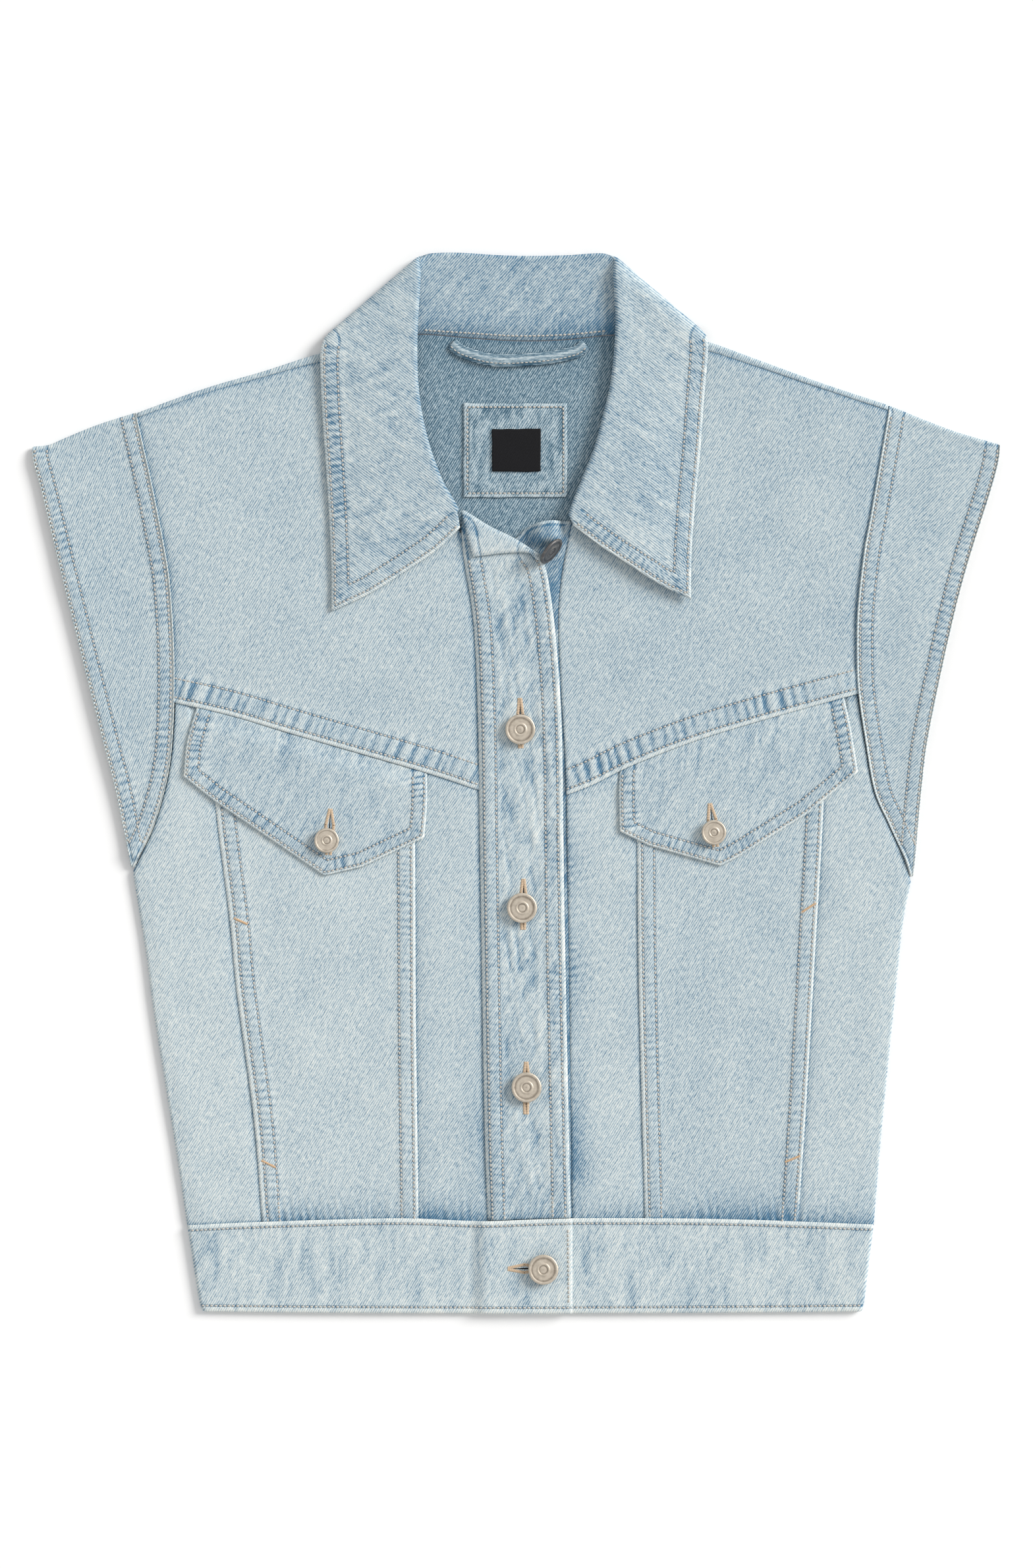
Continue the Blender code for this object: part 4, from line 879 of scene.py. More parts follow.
# Back
BACK_LEFT, BACK_RIGHT = -213.4, 209.6
BACK_DRAWN, BACK_TOP = 60, 205      # rows between these heights are drawn up to the shoulders' folds
FOLD_STEPS = 8
STRIP_STEPS = 3


def build_back():
    """The back panel, which turns forward over the shoulders and lies flat up to the neck seam."""
    folds = (Line(SHOULDER_FOLD_L), Line(SHOULDER_FOLD_R))
    seams = (shoulder_l, shoulder_r)
    neck = Line(NECK_BACK)
    arc = math.pi * SLEEVE_TURN
    waist_left, waist_right = WAIST_SEAM[0][0], WAIST_SEAM[-1][0]
    row_count, column_count = GRIDS["back"]
    columns = []
    for x in np.linspace(BACK_LEFT, BACK_RIGHT, column_count):
        share = (x - BACK_LEFT) / (BACK_RIGHT - BACK_LEFT)
        turned = float(ramp(abs(x), 74, 81))
        bend = math.pi * turned
        side = 0 if x < 0 else 1
        start_folded = folds[side].y_at(x) - SLEEVE_TURN - CLOTH / 2
        strip = max(0.4, start_folded - seams[side].y_at(x) - 0.2)
        start = (neck.y_at(x) - arc - 1.4) * (1 - turned) + start_folded * turned
        run = 1.0 + (strip - 1.0) * turned
        low = waist_seam.y_at(waist_left + (waist_right - waist_left) * share) + 0.4
        y = np.linspace(low, BACK_TOP, row_count)
        y = y + (start - BACK_TOP) * ramp(y, BACK_DRAWN, BACK_TOP)
        x_left, x_right = outline_l.x_at(y) + EDGE_INSET, outline_r.x_at(y) - EDGE_INSET
        plan_x = x_left + (x_right - x_left) * share
        column = [(px, py, BACK_Z) for px, py in zip(plan_x[:-1], y[:-1])] + [(x, float(start), BACK_Z)]
        for k in range(1, FOLD_STEPS + 1):
            angle = bend * k / FOLD_STEPS
            if bend > 0.01:
                ahead, rise = arc / bend * math.sin(angle), arc / bend * (1 - math.cos(angle))
            else:
                ahead, rise = arc * k / FOLD_STEPS, 0.0
            column.append((x, start + ahead, BACK_Z + rise))
        px, py, pz = column[-1]
        for k in range(1, STRIP_STEPS + 1):
            part = run * k / STRIP_STEPS
            column.append((px, py + part * math.cos(bend), pz + part * math.sin(bend) * 0.3))
        columns.append(column)
    points = np.array(columns).transpose(1, 0, 2)
    x, y = points[:, :, 0], points[:, :, 1]
    # Blue and darker cloth near the neck seam: painted shadow of the collar's edge on the back, patchy like
    # the puckers
    relief = Seams([(neck, "under", (), 0.8)], 31, 0.0).at(x, y)
    fields = fields_of(x, y, GRAIN["body"], relief, 31, -0.6)
    add_cloth("vest_back_panel", points, CLOTH, inside_denim, ["back_panel"], fields,
              lining=body_denim)


build_back()


# Plackets
UNDER_CLOTH = 1.6


def under_height(x, y):
    """The under placket lies on the back and stands up in a ridge behind the neck button."""
    facing = math.radians(NECK_BUTTON["face_to"])
    ahead = (x - NECK_RIDGE["x"]) * math.cos(facing) + (y - NECK_RIDGE["y"]) * math.sin(facing)
    past_fold = 0.85 * (y - placket_fold.y_at(x)) - 2.6
    ridge = (1 - ramp(ahead, 0, NECK_RIDGE["drop"])) * ramp(past_fold, 0, NECK_RIDGE["rise"])
    return UNDER_Z + NECK_RIDGE["height"] * ridge * ramp(x, 4, 15) * (1 - ramp(x, 20, 27))


def build_under_placket():
    x, y = plan_grid(lambda y: top_seam.x_at(y) + 5.0, lambda y: under_seam.x_at(y) - 0.5 * ramp(y, 122, 134),
                     waist_seam.y_at, under_neck.y_at, *GRIDS["placket_under"],
                     (EDGE_INSET, 0.1, EDGE_INSET, EDGE_INSET))
    relief = Seams([(under_neck, "hem", (2.4,), 0.6)] + under(under_seam), 41, 0.15).at(x, y)
    lift = relief[0] * ramp(y, 100, 120)
    points = np.stack([x, y, under_height(x, y) + 0.5 * lift], axis=-1)
    fields = fields_of(x, y, GRAIN["body"], relief, 41, -0.4, crinkle=0.6)
    fields["blue"] = np.maximum(fields["blue"], 0.46 - 0.34 * noise(x, y, 6, 44))
    add_cloth("vest_placket_under", points, UNDER_CLOTH, body_denim, ["placket_under"], fields,
              coarse=3)


PLACKET_ROWS_IN, PLACKET_ROWS_OUT = (3.0, 9.7), (3.0, 10.0)
FOLDED_STEPS = 12


def build_top_placket():
    """The top placket, whose upper end is folded over onto its front."""
    turned_z = TOP_Z + PLY2 + 0.5
    reach = (turned_z - TOP_Z) / 2
    (x_first, y_first), (x_last, y_last) = PLACKET_FOLD[0], PLACKET_FOLD[-1]
    slope = math.atan2(y_last - y_first, x_last - x_first)
    normal = (-math.sin(slope), math.cos(slope))
    rows, columns = GRIDS["placket_top"]

    def seam_x(y):
        return top_seam.x_at(np.minimum(y, 140))

    x, y = plan_grid(lambda y: seam_x(y) + 0.2 + 0.8 * ramp(y, 128, 140), top_edge.x_at, waist_seam.y_at,
                     lambda x: placket_fold.y_at(x) - (reach + PLY2 / 2) / math.cos(slope), rows, columns)
    rise = ramp(x - seam_x(y), 0.3, 4.6)
    seams = Seams([(top_seam, "lap", PLACKET_ROWS_IN, 0.5), (top_edge, "hem", PLACKET_ROWS_OUT, 0.5)]
                  + under(waist_seam), 42, 0.25)
    lift = seams.at(x, y)[0] * (1 - ramp(y, 118, 128))
    base = FRONT_Z + 0.2
    flat = np.stack([x, y, base + (TOP_Z - base) * rise + 0.8 * lift], axis=-1)
    last = flat[-1]
    extra = []
    for k in range(1, TURN_STEPS + 1):
        angle = math.pi * k / TURN_STEPS
        step = last.copy()
        step[:, 0] += normal[0] * reach * math.sin(angle)
        step[:, 1] += normal[1] * reach * math.sin(angle)
        step[:, 2] += (turned_z - last[:, 2]) * (1 - math.cos(angle)) / 2
        extra.append(step)
    end_x = np.linspace(PLACKET_TURNED[0][0] + 1, 12.5, columns)
    end_y = np.minimum(Line(PLACKET_TURNED).y_at(end_x), last[:, 1] - 1.2)
    end = np.stack([end_x, end_y], axis=-1)
    for k in range(1, FOLDED_STEPS + 1):
        share = k / FOLDED_STEPS
        plan = last[:, :2] + (end - last[:, :2]) * share
        extra.append(np.column_stack([plan, np.full(columns, turned_z + 0.25 * math.sin(3.1 * share))]))
    points = np.concatenate([flat, np.array(extra)], axis=0)
    x, y = points[:, :, 0], points[:, :, 1]
    fields = fields_of(x, y, GRAIN["body"], seams.at(x, y), 42, -0.2)
    turned_share = np.linspace(0, 1, len(extra))[:, None]
    fields["fade"][rows:] = 0.3 * fields["fade"][rows:] + 0.9 * ramp(turned_share, 0.6, 0.95)
    creased = ramp(x - seam_x(y), 8, 14) * (1 - ramp(y, 124, 132))
    streak = add_streaks(fields, y, x + 0.12 * y, 2.8, 5, 1.2 * creased)
    fields["crinkle"] = 0.25 + 0.3 * creased
    points[:, :, 2] += 0.22 * creased * streak
    add_cloth("vest_placket_top", points, PLY2, body_denim, ["placket_top"], fields,
              coarse=2)


build_under_placket()
build_top_placket()


# Waistband
LAP_END = [(31.4, -251.0), (31.8, -296.0)]
LAP_STITCHES = [(29.4, -251.5), (29.8, -294.5)]
BAND_ROWS_TOP, BAND_ROWS_HEM = (3.0,), (3.4,)
BAND_TURN_STEPS = 10
BAND_STRETCHES = dict(
    # start, stop and step of x
    lap=(31.4, -28, -1.5), left_front=(-29, -174, -1.6), back=(-168, 190, 4.0), right_front=(190, -11, -1.6))
LAP_COLUMNS = 30


def build_waistband():
    """One strip from its lapped end round the left side, along the back and round the right side."""
    sides = (Line(WAIST_SIDE_L), Line(WAIST_SIDE_R))
    turn = (BAND_FRONT_Z - BAND_BACK_Z) / 2
    middle = (BAND_FRONT_Z + BAND_BACK_Z) / 2
    inset = turn + PLY2 / 2
    path = []
    for x in np.arange(*BAND_STRETCHES["lap"]):
        rise = float(ramp(x, -25.5, -16.5))
        path.append(("at", x, BAND_FRONT_Z + (BAND_LAP_Z - BAND_FRONT_Z) * rise))
    path += [("at", x, BAND_FRONT_Z) for x in np.arange(*BAND_STRETCHES["left_front"])]
    path += [("left", math.pi * k / BAND_TURN_STEPS, 0) for k in range(BAND_TURN_STEPS + 1)]
    path += [("at", x, BAND_BACK_Z) for x in np.arange(*BAND_STRETCHES["back"])]
    path += [("right", math.pi * k / BAND_TURN_STEPS, 0) for k in range(BAND_TURN_STEPS + 1)]
    path += [("at", x, BAND_FRONT_Z) for x in np.arange(*BAND_STRETCHES["right_front"])]
    v = np.linspace(0, 1, BAND_POINTS)
    columns = []
    for kind, value, z in path:
        x, y = np.full(v.shape, float(value)), np.full(v.shape, -274.0)
        height = np.full(v.shape, float(z))
        for _ in range(6):
            if kind == "left":
                x = sides[0].x_at(y) + inset - turn * math.sin(value)
                height[:] = middle + turn * math.cos(value)
            if kind == "right":
                x = sides[1].x_at(y) - inset + turn * math.sin(value)
                height[:] = middle - turn * math.cos(value)
            low, high = hem.y_at(x) + 0.5, waist_seam.y_at(x) - EDGE_INSET
            y = low + (high - low) * v
        columns.append(np.stack([x, y, height], axis=-1))
    points = np.array(columns).transpose(1, 0, 2)
    x, y = points[:, :, 0], points[:, :, 1]
    seams = Seams([(waist_seam, "lap", BAND_ROWS_TOP, 0.7), (hem, "hem", BAND_ROWS_HEM, 0.6)], 51)
    lift, rows_at, blue, fade = seams.at(x, y)
    place = np.arange(len(path))[None, :]
    end_x = np.array([value if kind == "at" else 200 for kind, value, _ in path])[None, :]
    on_front = ramp(points[:, :, 2], BAND_FRONT_Z - 0.8, BAND_FRONT_Z)
    under_lap = (place > len(path) // 2) & (end_x < 34)
    points[:, :, 2] += (0.7 - 0.35 * under_lap) * lift * on_front
    on_lap = place < LAP_COLUMNS
    end_seam = Seams([(Line(LAP_END, straight=True), "hem", (2.0,), 0.5)], 53, 0.0)
    end_lift, _, end_blue, end_fade = end_seam.at(x, y)
    points[:, :, 2] += 0.6 * end_lift * on_lap
    relief = (lift, rows_at, np.maximum(blue, end_blue * on_lap), fade + end_fade * on_lap)
    fields = fields_of(x, y, GRAIN["body"] + 2, relief, 51, 0.25, crinkle=0.3)
    add_streaks(fields, y, x, 3.8, 52, 0.9)
    add_cloth("vest_waistband", points, PLY2 - 0.1, body_denim, ["waistband"], fields)


build_waistband()


# Collar
ROLL_RADIUS = dict(front=1.5, back=1.05)
STAND_STEPS, ROLL_STEPS, LEAF_STEPS = 16, 9, 34
COLLAR_SPACING = 2.0
COLLAR_ROWS = (1.9, 9.3)
COLLAR_EDGE = [row[6:8] for row in COLLAR]          # x and y of the leaf's edge


def collar_section(row):
    """One section: up the stand from the neck seam, round the roll and out to the edge."""
    neck, roll, edge = (np.array(row[k:k + 3], float) for k in (0, 3, 6))
    to_angle, turn = math.radians(row[9]), math.radians(row[10])
    to = np.array([math.cos(to_angle), math.sin(to_angle), 0.0])
    outward = np.array([-to[1], to[0], 0.0])
    side = -outward * math.cos(turn) + UP * math.sin(turn)
    side /= np.linalg.norm(side)
    upright = 0.5 + 0.5 * math.sin(turn)
    radius = ROLL_RADIUS["back"] + (ROLL_RADIUS["front"] - ROLL_RADIUS["back"]) * upright
    centre = roll - to * (radius + COLLAR_CLOTH / 2)
    stand_end, leaf_start = centre - side * radius, centre + side * radius
    points = []
    for k in range(STAND_STEPS):
        share = k / STAND_STEPS
        point = neck + (stand_end - neck) * share
        point[2] = neck[2] + (stand_end[2] - neck[2]) * float(ramp(share, 0.0, 0.16))
        points.append(point)
    for k in range(ROLL_STEPS):
        angle = math.pi * k / (ROLL_STEPS - 1)
        points.append(centre + to * (radius * math.sin(angle)) - side * (radius * math.cos(angle)))
    for k in range(1, LEAF_STEPS + 1):
        share = k / LEAF_STEPS
        point = leaf_start + (edge - leaf_start) * share
        if leaf_start[2] > edge[2]:
            point[2] = leaf_start[2] + (edge[2] - leaf_start[2]) * share ** 1.6
        points.append(point)
    return np.array(points)


NECK_SEAM = [(-52, 255.3), (-26, 253.6), (1, 252), (28, 252.7), (52, 255)]


def build_collar():
    sections = np.array([collar_section(row) for row in COLLAR])
    far = np.linalg.norm(np.diff(sections, axis=0), axis=2).max(axis=1)
    counts = [max(2, math.ceil(d / COLLAR_SPACING)) for d in far]
    # Near the leaf's edge the curve is broken at the two points of the collar
    cuts = [0, LEFT_TIP, RIGHT_TIP, len(COLLAR) - 1]
    parts = [catmull_rom(sections[a:b + 1], counts[a:b]) for a, b in zip(cuts, cuts[1:])]
    whole, split = catmull_rom(sections, counts), np.concatenate([parts[0][:-1], parts[1][:-1], parts[2]])
    steps = np.arange(sections.shape[1])
    leaf_share = np.clip((steps - STAND_STEPS - ROLL_STEPS + 1) / LEAF_STEPS, 0, 1)
    weight = ramp(leaf_share, 0.0, 0.35)[None, :, None]
    points = (whole * (1 - weight) + split * weight).transpose(1, 0, 2)
    x, y = points[:, :, 0], points[:, :, 1]
    front_paths = [COLLAR_EDGE[:LEFT_TIP + 1], COLLAR_EDGE[RIGHT_TIP:]]
    side_paths = [COLLAR_EDGE[LEFT_TIP:LEFT_BACK], COLLAR_EDGE[RIGHT_BACK:RIGHT_TIP + 1]]
    seams = [(Line(path, straight=True), "hem", COLLAR_ROWS, 0.6) for path in front_paths]
    seams += [(Line(path, straight=True), "hem", COLLAR_ROWS, 1.15) for path in side_paths]
    lift, rows_at, blue, fade = Seams(seams, 61, 0.7).at(x, y)
    on_leaf = ramp(steps, STAND_STEPS + ROLL_STEPS, STAND_STEPS + ROLL_STEPS + 6)[:, None]
    free = on_leaf * ramp(points[:, :, 2], 3.2, 4.6)
    points[:, :, 2] += lift * 0.8 * free
    leaf = (steps >= STAND_STEPS + ROLL_STEPS // 2)[:, None] & (np.abs(x) > 30)
    grain = np.where(leaf[:, :, None], grain_field(x, y, GRAIN["collar_leaf"], (61.0, 12.0)),
                     grain_field(x, y, GRAIN["collar_back"], (261.0, 512.0)))
    creased = free * ramp(leaf_share, 0.05, 0.3)[:, None] * (0.75 + 0.5 * noise(x, y, 24, 4))
    # shade: painted shade along the roll, where its steep side would show a bright line of light; the stand
    # and the back are darker than the leaves
    shade = np.where(leaf, 0.0, -0.8) - 1.2 * bump_at(steps, STAND_STEPS + ROLL_STEPS / 2, 4.0)[:, None]
    seam_blue = Seams([(Line(NECK_SEAM), "shade", (), 1.5)], 63, 0.0).at(x, y)[2] * ~leaf
    fields = {"grain": grain, "rows": np.where(free[:, :, None] > 0.5, rows_at, FAR),
              "blue": np.maximum(blue * free, seam_blue), "fade": fade * np.maximum(free, 0.3) + shade - 0.45,
              "crinkle": np.full_like(x, 0.4)}
    streak = add_streaks(fields, x, y + 0.4 * np.abs(x), 2.8, 8, 0.8 * creased)
    points[:, :, 2] += 0.18 * creased * streak
    add_cloth("vest_collar", points, COLLAR_CLOTH, body_denim, ["collar"], fields)


build_collar()


# Neck fittings
LOOP_POINTS = 9                         # across the hanger loop
SQUARE_COLUMNS, SQUARE_ROWS = 61, 55


def build_hanger_loop():
    """A strip along the loop line, with a pale ridge along it and a blue lower side."""
    line = smooth_points(LOOP_LINE, steps=8)
    ahead = unit_rows(np.gradient(line, axis=0))
    reach = LOOP_WIDTH / 2 - 0.4
    up = np.linspace(-reach, reach, LOOP_POINTS)[:, None] + 0 * line[None, :, 0]
    x = line[None, :, 0] - ahead[None, :, 1] * up
    y = line[None, :, 1] + ahead[None, :, 0] * up
    swell = 0.7 * np.sin(np.linspace(0, math.pi, len(line)))[None, :]
    z = 2.45 + swell + 0.25 * (1 - (up / 3.2) ** 2) + 0.12 * bump_at(up, 0.9, 0.9)
    low_side = ramp(-up, -0.6, 1.6)
    fields = {"grain": np.stack([x * 0.9, y * 1.4, 0 * x], axis=-1),
              "rows": np.stack([np.abs(up) - 2.2, np.full_like(up, FAR), 0 * up], axis=-1),
              "blue": 0.7 * low_side * (0.5 + 0.9 * noise(x, y, 5, 31)),
              "fade": 0.5 + 2.4 * bump_at(up, 0.9, 0.8) + 2.2 * noise(x, y, 4, 33) * low_side,
              "crinkle": np.full_like(x, 0.2)}
    points = np.stack([x, y, z], axis=-1).swapaxes(0, 1)[::-1]
    fields = {field: values.swapaxes(0, 1)[::-1] for field, values in fields.items()}
    add_cloth("vest_hanger_loop", points, LOOP_CLOTH, inside_denim, ["hanger_loop"], fields)


def build_neck_square(name, spec, finish):
    """The patch or the label: flat, a little wavy, and worn along its edges."""
    columns = np.linspace(spec["left"] + 0.3, spec["right"] - 0.3, SQUARE_COLUMNS)
    rows = np.linspace(spec["bottom"] + 0.3, spec["top"] - 0.3, SQUARE_ROWS)
    x, y = np.meshgrid(columns, rows)
    wave = noise(x, y, 9, 7)
    streak = noise(x, y * 0.2, 2.4, 11) + 0.3 * wave
    edge = np.minimum(np.minimum(x - columns[0], columns[-1] - x), np.minimum(y - rows[0], rows[-1] - y))
    groove, depth, width = spec["groove"]
    z = spec["height"] + 0.12 * wave - depth * bump_at(edge, groove, width)
    points = np.stack([x + 0.25 * noise(y, x, 6, 3), y + 0.3 * noise(x, y, 5, 4), z], axis=-1)
    fields = {"grain": grain_field(x, y, GRAIN["body"], (19.0, 5.0)),
              "rows": np.stack([edge - PATCH_ROW, np.full_like(edge, FAR), edge], axis=-1),
              "blue": 0.45 * bump_at(edge, 4.8, 4.5) * ramp(-streak, -0.3, 1.0),
              "fade": 1.5 * streak * bump_at(edge, 3.0, 9.0) + 2.6 * bump_at(edge, 0.6, 1.0) + 0.4,
              "crinkle": np.full_like(edge, 0.5)}
    add_cloth("vest_" + name, points, spec["cloth"], finish, [name], fields)


build_hanger_loop()
build_neck_square("patch", PATCH, inside_denim)
build_neck_square("label", LABEL, label_black)


# Stitching
trees = {}


def surface_at(name, x, y):
    """Height of a piece's upper side at a plan point, or None beside the piece."""
    if name not in trees:
        mesh = pieces["vest_" + name].data
        trees[name] = BVHTree.FromPolygons([v.co[:] for v in mesh.vertices],
                                           [p.vertices[:] for p in mesh.polygons])
    place, _, _, _ = trees[name].ray_cast(Vector((x, y, 50)) * MM, Vector((0, 0, -1)))
    return None if place is None else place.z / MM


class Threads:
    """Collects stitches and bars into one mesh."""

    SIDES = 5

    def __init__(self):
        self.verts, self.faces, self.along, self.place = [], [], [], []

    def tube(self, centres, radii, values, flat=0.7):
        """A closed tube through the centres; flat is its height as a share of its width."""
        centres = np.array(centres)
        base, count = len(self.verts), len(centres)
        sides = unit_rows(np.cross(np.gradient(centres, axis=0), UP))
        for centre, side, radius, value in zip(centres, sides, radii, values):
            for k in range(self.SIDES):
                angle = math.tau * (k + 0.5) / self.SIDES + math.pi / 2
                offset = side * math.cos(angle) * radius + UP * math.sin(angle) * radius * flat
                self.verts.append(centre + offset)
                self.along.append(value)
                self.place.append(centre * 2.0 + offset)
        for i in range(count - 1):
            for k in range(self.SIDES):
                a, b = base + i * self.SIDES + k, base + i * self.SIDES + (k + 1) % self.SIDES
                self.faces.append((a, b, b + self.SIDES, a + self.SIDES))
        self.faces.append(tuple(base + k for k in range(self.SIDES))[::-1])
        self.faces.append(tuple(base + (count - 1) * self.SIDES + k for k in range(self.SIDES)))

    def make(self, name, finish):
        mesh = bpy.data.meshes.new(name)
        mesh.from_pydata([tuple(v * MM) for v in self.verts], [], self.faces)
        add_field(mesh, "along", self.along)
        add_field(mesh, "grain", self.place)
        new_piece(name, mesh, finish)


STITCH_PITCH = 2.45
STITCH_WIDTH = 0.56     # radius of the thread as seen from above
STITCH_GAP = 0.28       # from a stitch's end to the end of its pitch
STITCH_DIVE = 0.28
STITCH_RISE = 0.08
STITCH_TAPER = 0.55     # a stitch's ends, as a share of its width
STITCH_PALE = 0.85      # how pale the middle of a stitch is, from 0 to 1


def offset_path(lines, distance, side):
    """A path at a distance to one side of a run of lines, without what lies too close to any of them."""
    points, ahead = np.vstack([line.points for line in lines]), np.vstack([line.ahead for line in lines])
    path = points + np.column_stack([-ahead[:, 1], ahead[:, 0]]) * side * distance
    keep = np.ones(len(path), bool)
    for line in lines:
        gap, _ = line.measure(path[:, 0], path[:, 1])
        keep &= gap > distance - 0.08
    return path[keep]


def stitch_row(threads, name, path, width=STITCH_WIDTH):
    """Stitches end to end along a plan path, on a piece's upper side."""
    path = np.asarray(path, float)
    arc = arc_length(path)
    for i in range(int(arc[-1] / STITCH_PITCH)):
        ends = []
        for share in (STITCH_GAP, STITCH_PITCH / 2, STITCH_PITCH - STITCH_GAP):
            x, y = (np.interp(i * STITCH_PITCH + share, arc, path[:, k]) for k in (0, 1))
            z = surface_at(name, x, y)
            if z is None:
                break
            ends.append(np.array([x, y, z]))
        if len(ends) < 3 or np.linalg.norm(ends[2] - ends[0]) > STITCH_PITCH * 1.6:
            continue
        a, m, b = ends
        sink, rise = UP * STITCH_DIVE, UP * STITCH_RISE
        centres = [a - sink, a + (m - a) * 0.35 + rise, b + (m - b) * 0.35 + rise, b - sink]
        end = width * STITCH_TAPER
        # Ends at 0 take the thread's dark stop: painted shade where the thread dives into the cloth
        threads.tube(centres, [end, width, width, end], [0.0, STITCH_PALE, STITCH_PALE, 0.0])


STITCH_RUNS = [
    # piece, line, side of travel along it, distances of the stitch rows
    ("yoke_left", yoke_seam_l, 1, YOKE_ROWS),
    ("yoke_right", yoke_seam_r, 1, YOKE_ROWS),
    ("pocket_panel_left", outer_l, 1, OUTER_ROWS_L),
    ("pocket_panel_left", inner_l, -1, INNER_ROWS_L),
    ("pocket_panel_right", outer_r, -1, OUTER_ROWS_R),
    ("pocket_panel_right", inner_r, 1, INNER_ROWS_R),
    ("placket_top", top_seam, 1, PLACKET_ROWS_IN),
    ("placket_top", top_edge, -1, PLACKET_ROWS_OUT),
    ("waistband", waist_seam, -1, BAND_ROWS_TOP),
    ("waistband", hem, 1, BAND_ROWS_HEM),
]
PLACKET_STITCH_TOP = 126
SLEEVE_STITCH_LOW = -36


def stitch_body():
    threads = Threads()
    for name, line, side, distances in STITCH_RUNS:
        for distance in distances:
            path = offset_path([line], distance, side)
            if name == "placket_top":
                path = path[path[:, 1] < PLACKET_STITCH_TOP]
            if name.startswith("pocket_panel"):
                flap = FLAPS[name.replace("pocket_panel", "flap")]
                path = path[path[:, 1] < flap["low"].y_at(path[:, 0]) + 2]
            stitch_row(threads, name, path)
    stitch_row(threads, "waistband", Line(LAP_STITCHES, straight=True).points)
    threads.make("stitching_body", sewing)


def stitch_sleeves_flaps():
    threads = Threads()
    for name, armhole, hem_line, side in (("sleeve_left", armhole_l, sleeve_hem_l, 1),
                                          ("sleeve_right", armhole_r, sleeve_hem_r, -1)):
        # line, distances of its rows, side of travel along it, and the height where the rows end
        runs = ((armhole, SLEEVE_ROWS, -side, 207), (hem_line, HEM_ROWS, side, 189))
        for line, distances, way, top in runs:
            for distance in distances:
                path = offset_path([line], distance, way)
                stitch_row(threads, name, path[(path[:, 1] > SLEEVE_STITCH_LOW) & (path[:, 1] < top)])
    for name, (left, right) in FLAP_EDGES.items():
        spec = FLAPS[name]
        for distance in FLAP_ROWS:
            path = offset_path([Line(left), spec["low"], Line(right[::-1])], distance, 1)
            stitch_row(threads, name, path[path[:, 1] < spec["seam"].y_at(path[:, 0]) - 2])
    threads.make("stitching_sleeves_flaps", sewing)


def stitch_neck():
    threads = Threads()
    for edge in (COLLAR_EDGE[:LEFT_BACK], COLLAR_EDGE[RIGHT_BACK:]):
        for distance in COLLAR_ROWS:
            stitch_row(threads, "collar", offset_path([Line(edge, straight=True)], distance, -1))
    stitch_row(threads, "collar", Line(NECK_SEAM).points)
    left, right = PATCH["left"] + PATCH_ROW, PATCH["right"] - PATCH_ROW
    bottom, top = PATCH["bottom"] + PATCH_ROW, PATCH["top"] - PATCH_ROW
    ring = [(left, bottom), (right, bottom), (right, top), (left, top), (left, bottom)]
    stitch_row(threads, "patch", Line(ring, straight=True).points)
    stitch_row(threads, "hanger_loop", offset_path([Line(LOOP_LINE)], 1.6, -1), width=0.36)
    threads.make("stitching_neck", sewing)


stitch_body()
stitch_sleeves_flaps()
stitch_neck()


# Buttonholes and bar tacks
HOLE_WIDEST = 9.0       # from a hole's tip to where its bars are widest apart
SATIN_PITCH = 0.5
SATIN_ARCH = [
    # share of the half width, height over the cloth, radius of the thread, and how pale it is; the low values
    # at the sides are painted shade where the thread dives into the cloth
    (-1, -0.25, 0.16, 0.25), (-0.6, 0.14, 0.27, 0.9), (0.6, 0.14, 0.27, 0.9), (1, -0.25, 0.16, 0.25),
]
SLIT_STEPS = 24
HOLES = [
    # piece, tip and stop of the hole, and how far its bars part
    ("placket_top", (2.3, 47.5), (2.8, 19.6), 1.5),
    ("placket_top", (4.3, -54.4), (4.1, -82.6), 1.5),
    ("placket_top", (5.9, -157.4), (5.8, -186.6), 1.5),
    ("waistband", (-4.3, -273.8), (12.0, -273.6), 2.2),
    ("flap_left", (-104.5, -14.9), (-105.6, -40.5), 2.2),
    ("flap_right", (109.4, -11.8), (112.6, -36.0), 2.2),
]
TACKS = [
    # piece, start and stop of the tack
    ("pocket_panel_left", (-158.8, -76.4), (-151.4, -79.7)),
    ("pocket_panel_left", (-143.2, -213.0), (-135.8, -216.7)),
    ("pocket_panel_right", (161.1, -73.1), (169.0, -67.9)),
    ("pocket_panel_right", (152.1, -213.7), (160.2, -210.4)),
]


def satin_bar(threads, name, start, stop, width=2.0):
    """Close stitches side by side, across the way from start to stop."""
    start, stop = np.array(start, float), np.array(stop, float)
    length = np.linalg.norm(stop - start)
    way = (stop - start) / length
    across = np.array([-way[1], way[0]])
    count = int(length / SATIN_PITCH)
    for i in range(count + 1):
        middle = start + way * (i * length / max(count, 1))
        z = surface_at(name, *middle)
        if z is None:
            continue
        half = width / 2 * (1 + 0.08 * math.sin(i * 2.3))
        points = [np.array([*(middle + across * half * share), z + high]) for share, high, _, _ in SATIN_ARCH]
        threads.tube(points, [row[2] for row in SATIN_ARCH], [row[3] for row in SATIN_ARCH], flat=1.0)


def buttonhole(threads, slits, name, tip, stop, spread):
    """Satin bars that part from the tip to the button and close again, with a slit between them."""
    tip, stop = np.array(tip, float), np.array(stop, float)
    way = (stop - tip) / np.linalg.norm(stop - tip)
    across = np.array([-way[1], way[0]])
    wide = tip + way * HOLE_WIDEST
    for off in (-across, across):
        satin_bar(threads, name, tip + off * 0.4, wide + off * spread)
        satin_bar(threads, name, wide + off * spread, stop + off * spread * 0.5)
    slits.append((name, tip + way * 3.0, stop - way * 1.5))


